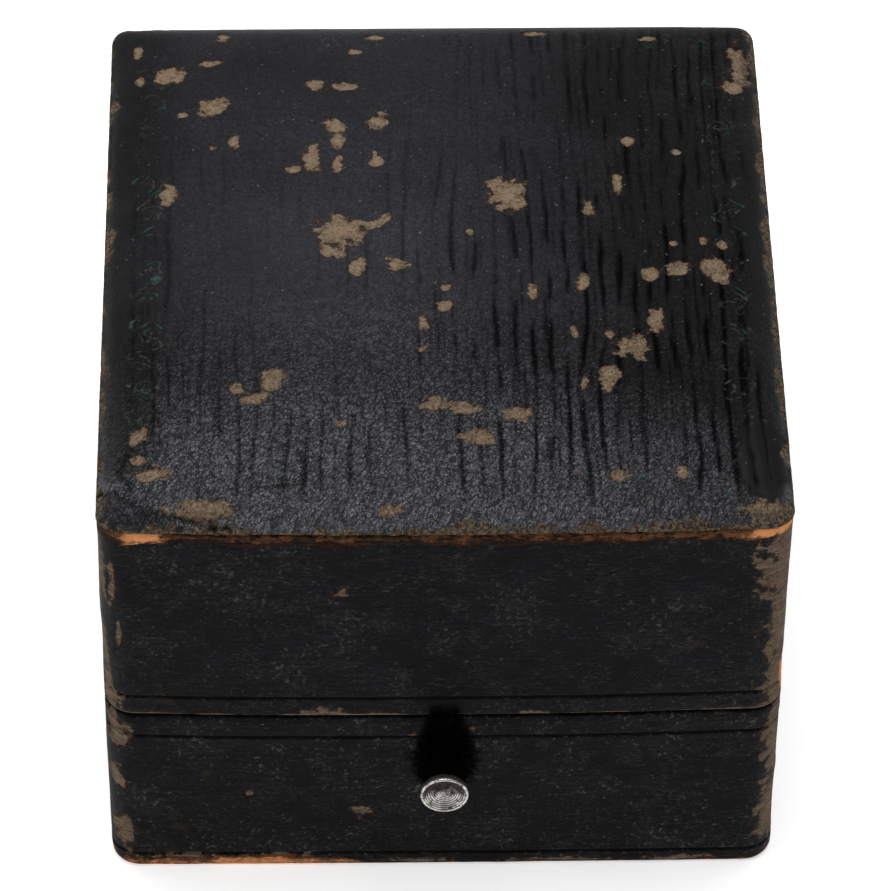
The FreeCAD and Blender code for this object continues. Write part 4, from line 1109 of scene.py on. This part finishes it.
# --- The button ---
def turned_button(finish):
    """Turned steel button: a dished head with concentric tool marks, a flared neck and a slim shank."""
    face, tip = BUTTON_LOW[1], BUTTON_HIGH[1]
    head = BUTTON_HIGH[0]
    wall, flange = -HALF_Y + 0.2, -HALF_Y + 3.1
    dish, depth = 0.42, 1.0
    outline, marks = [], []
    for r in np.arange(0.0, head - 0.20, 0.022):
        mark = math.sin(r * 2 * math.pi / 0.155 + 0.8 * math.sin(r * 3.1))
        bowl = dish * (1 - (r / (head - 0.18)) ** 2)
        outline.append((r, face + 0.03 + bowl + 0.016 * mark))
        marks.append(max(0.0, mark))
    lip = [(head - 0.17, face + 0.02), (head - 0.12, face), (head - 0.05, face + 0.02),
           (head, face + 0.10), (head, face + 0.30), (head - 0.04, face + 0.55),
           (head - 0.22, face + 0.82), (head - 0.55, face + depth)]
    behind = face + depth
    neck = [(1.12, behind + 0.22), (1.0, behind + 0.5), (0.92, behind + 0.9), (0.9, behind + 1.3)]
    shank = [(0.9, wall), (0.9, flange - 0.2), (1.08, flange), (1.08, flange + 0.25),
             (0.6, flange + 0.3), (0.6, tip + 0.1), (0.5, tip), (0.0, tip)]
    outline += lip + neck + shank
    marks += [0.0] * (len(outline) - len(marks))
    around = 96
    points, groove, tarnish_and_shade, shadow_and_grime = [], [], [], []
    for (r, y), mark in zip(outline[1:-1], marks[1:-1]):
        for k in range(around):
            turn = 2 * math.pi * k / around
            points.append((r * math.cos(turn), y, BUTTON_Z + r * math.sin(turn)))
            groove.append(mark)
            # Painted shade on the upper half of the dish, where it faces down.
            dished = y < face + 0.6 and r < head - 0.2
            tarnish_and_shade.append(float(ease(r * math.sin(turn), -1.2, 1.1)) if dished else 0.0)
            # Painted shadow, with some grime, on the neck and shank behind the head.
            shadow_and_grime.append(float(y > face + 0.62))
    faces = grid_faces(len(outline) - 2, around, wrap_columns=True)
    first, final = len(points), len(points) + 1
    points += [(0, outline[0][1], BUTTON_Z), (0, tip, BUTTON_Z)]
    groove += [marks[0], 0.0]
    tarnish_and_shade += [0.2, 0.0]
    shadow_and_grime += [0.0, 1.0]
    start = (len(outline) - 3) * around
    faces += [(first, k, (k + 1) % around) for k in range(around)]
    faces += [(final, start + (k + 1) % around, start + k) for k in range(around)]
    return make_piece("turned_button", points, faces, "button", finish, ["push_button"],
                      {"groove": groove, "tarnish_and_shade": tarnish_and_shade, "shadow_and_grime": shadow_and_grime})


# --- Put the case together ---
straight_grain = straight_grain_finish()
lid_leather = side_leather_finish("lid_side_black", (0.0013, 0.0013, 0.0024),
                                  (0.0046, 0.0046, 0.0066), 0.75, 101.0)
base_leather = side_leather_finish("base_side_black", (0.0013, 0.0013, 0.0022),
                                   (0.0050, 0.0048, 0.0060), 1.0, 131.0)
velvet = velvet_finish()
satin = satin_finish()

lid_top(straight_grain)
lid_side(lid_leather)
base_side(base_leather)
underside_sheet(underside_finish())
turned_button(turned_steel_finish())

for side in ("front", "back"):
    velvet_strip("velvet_collar_" + side, "collar_" + side, 0.5, (86, 2, 34), velvet)
    satin_strip("satin_lining_" + side, "lid_lining_" + side, (90, 2, 32), satin)
for side in ("left", "right"):
    velvet_strip("velvet_collar_" + side, "collar_" + side, 0.5, (2, 94, 34), velvet)
    velvet_strip("velvet_shelf_" + side, "velvet_ledge_" + side, 0.2, (34, 6, 2), velvet)
    satin_strip("satin_lining_" + side, "lid_lining_" + side, (2, 100, 32), satin)
ring_pad("velvet_pad_front", "front_ring_pad", 1, velvet)
ring_pad("velvet_pad_rear", "rear_ring_pad", -1, velvet)
slot_turn_in("velvet_turn_in_front", "front_pad_card", 1, velvet)
slot_turn_in("velvet_turn_in_rear", "rear_pad_card", -1, velvet)
satin_cushion(satin)

cad_finishes = {"carcass_wood": wood_finish(), "brass_fittings": brass_finish(),
                "spring_steel": spring_steel_finish(), "straw_card": card_finish()}
slot_of = {part["node"]: part["material_slot"] for part in frame["record"]["subparts"]}
for node_name, node in frame["nodes"].items():
    finish = cad_finishes.get(slot_of[node_name])
    if finish:
        node.data.materials.clear()
        node.data.materials.append(finish)

# --- Table, light and camera ---
table_mesh = bpy.data.meshes.new("white_table")
reach = 3.0
corners = [(-reach, -reach, 0), (reach, -reach, 0), (reach, reach, 0), (-reach, reach, 0)]
table_mesh.from_pydata(corners, [], [(0, 1, 2, 3)])
table_mesh.materials.append(table_finish())
white_table = bpy.data.objects.new("white_table", table_mesh)
bpy.context.scene.collection.objects.link(white_table)

room = bpy.data.worlds.new("bright_room")
room.use_nodes = True
room.node_tree.nodes["Background"].inputs["Color"].default_value = (1.0, 1.0, 1.0, 1)
room.node_tree.nodes["Background"].inputs["Strength"].default_value = 0.46
bpy.context.scene.world = room


def soft_box(name, place, aim, width, depth, power, colour=(1, 1, 1)):
    """Rectangular studio light at a place in metres, turned to an aim point."""
    lamp = bpy.data.lights.new(name, "AREA")
    lamp.shape = "RECTANGLE"
    lamp.size, lamp.size_y = width, depth
    lamp.energy = power
    lamp.color = colour
    holder = bpy.data.objects.new(name, lamp)
    holder.location = place
    holder.rotation_mode = "QUATERNION"
    holder.rotation_quaternion = (Vector(aim) - Vector(place)).to_track_quat("-Z", "Y")
    bpy.context.scene.collection.objects.link(holder)
    return holder


soft_box("overhead_box", (0.0, 0.10, 0.60), (0.0, 0.0, 0.02), 0.55, 0.40, 2.85)
soft_box("left_box", (-0.55, -0.25, 0.45), (0.0, 0.0, 0.02), 0.25, 0.40, 0.9)

VIEW_HEIGHT = math.radians(44.73)
VIEW_TURN = math.radians(-1.576)
VIEW_ROLL = math.radians(0.682)
VIEW_DISTANCE = 8.653 * 2 * HALF_X * MM
VIEW_AIM = Vector((0.0129, 0.0, 0.3475)) * 2 * HALF_X * MM
back = Vector((math.sin(VIEW_TURN) * math.cos(VIEW_HEIGHT), -math.cos(VIEW_TURN) * math.cos(VIEW_HEIGHT),
               math.sin(VIEW_HEIGHT)))
level = Vector((math.cos(VIEW_TURN), math.sin(VIEW_TURN), 0))
upward = back.cross(level)
right = level * math.cos(VIEW_ROLL) + upward * math.sin(VIEW_ROLL)
upward = upward * math.cos(VIEW_ROLL) - level * math.sin(VIEW_ROLL)
camera = bpy.data.objects.new("camera", bpy.data.cameras.new("camera"))
camera.data.sensor_width = 36.0
camera.data.lens = 227.0
camera.data.clip_start, camera.data.clip_end = 0.01, 20.0
camera.matrix_world = Matrix((
    (right.x, upward.x, back.x, VIEW_AIM.x + back.x * VIEW_DISTANCE),
    (right.y, upward.y, back.y, VIEW_AIM.y + back.y * VIEW_DISTANCE),
    (right.z, upward.z, back.z, VIEW_AIM.z + back.z * VIEW_DISTANCE),
    (0, 0, 0, 1)))
bpy.context.scene.collection.objects.link(camera)
bpy.context.scene.camera = camera
bpy.context.scene.view_settings.view_transform = "Standard"
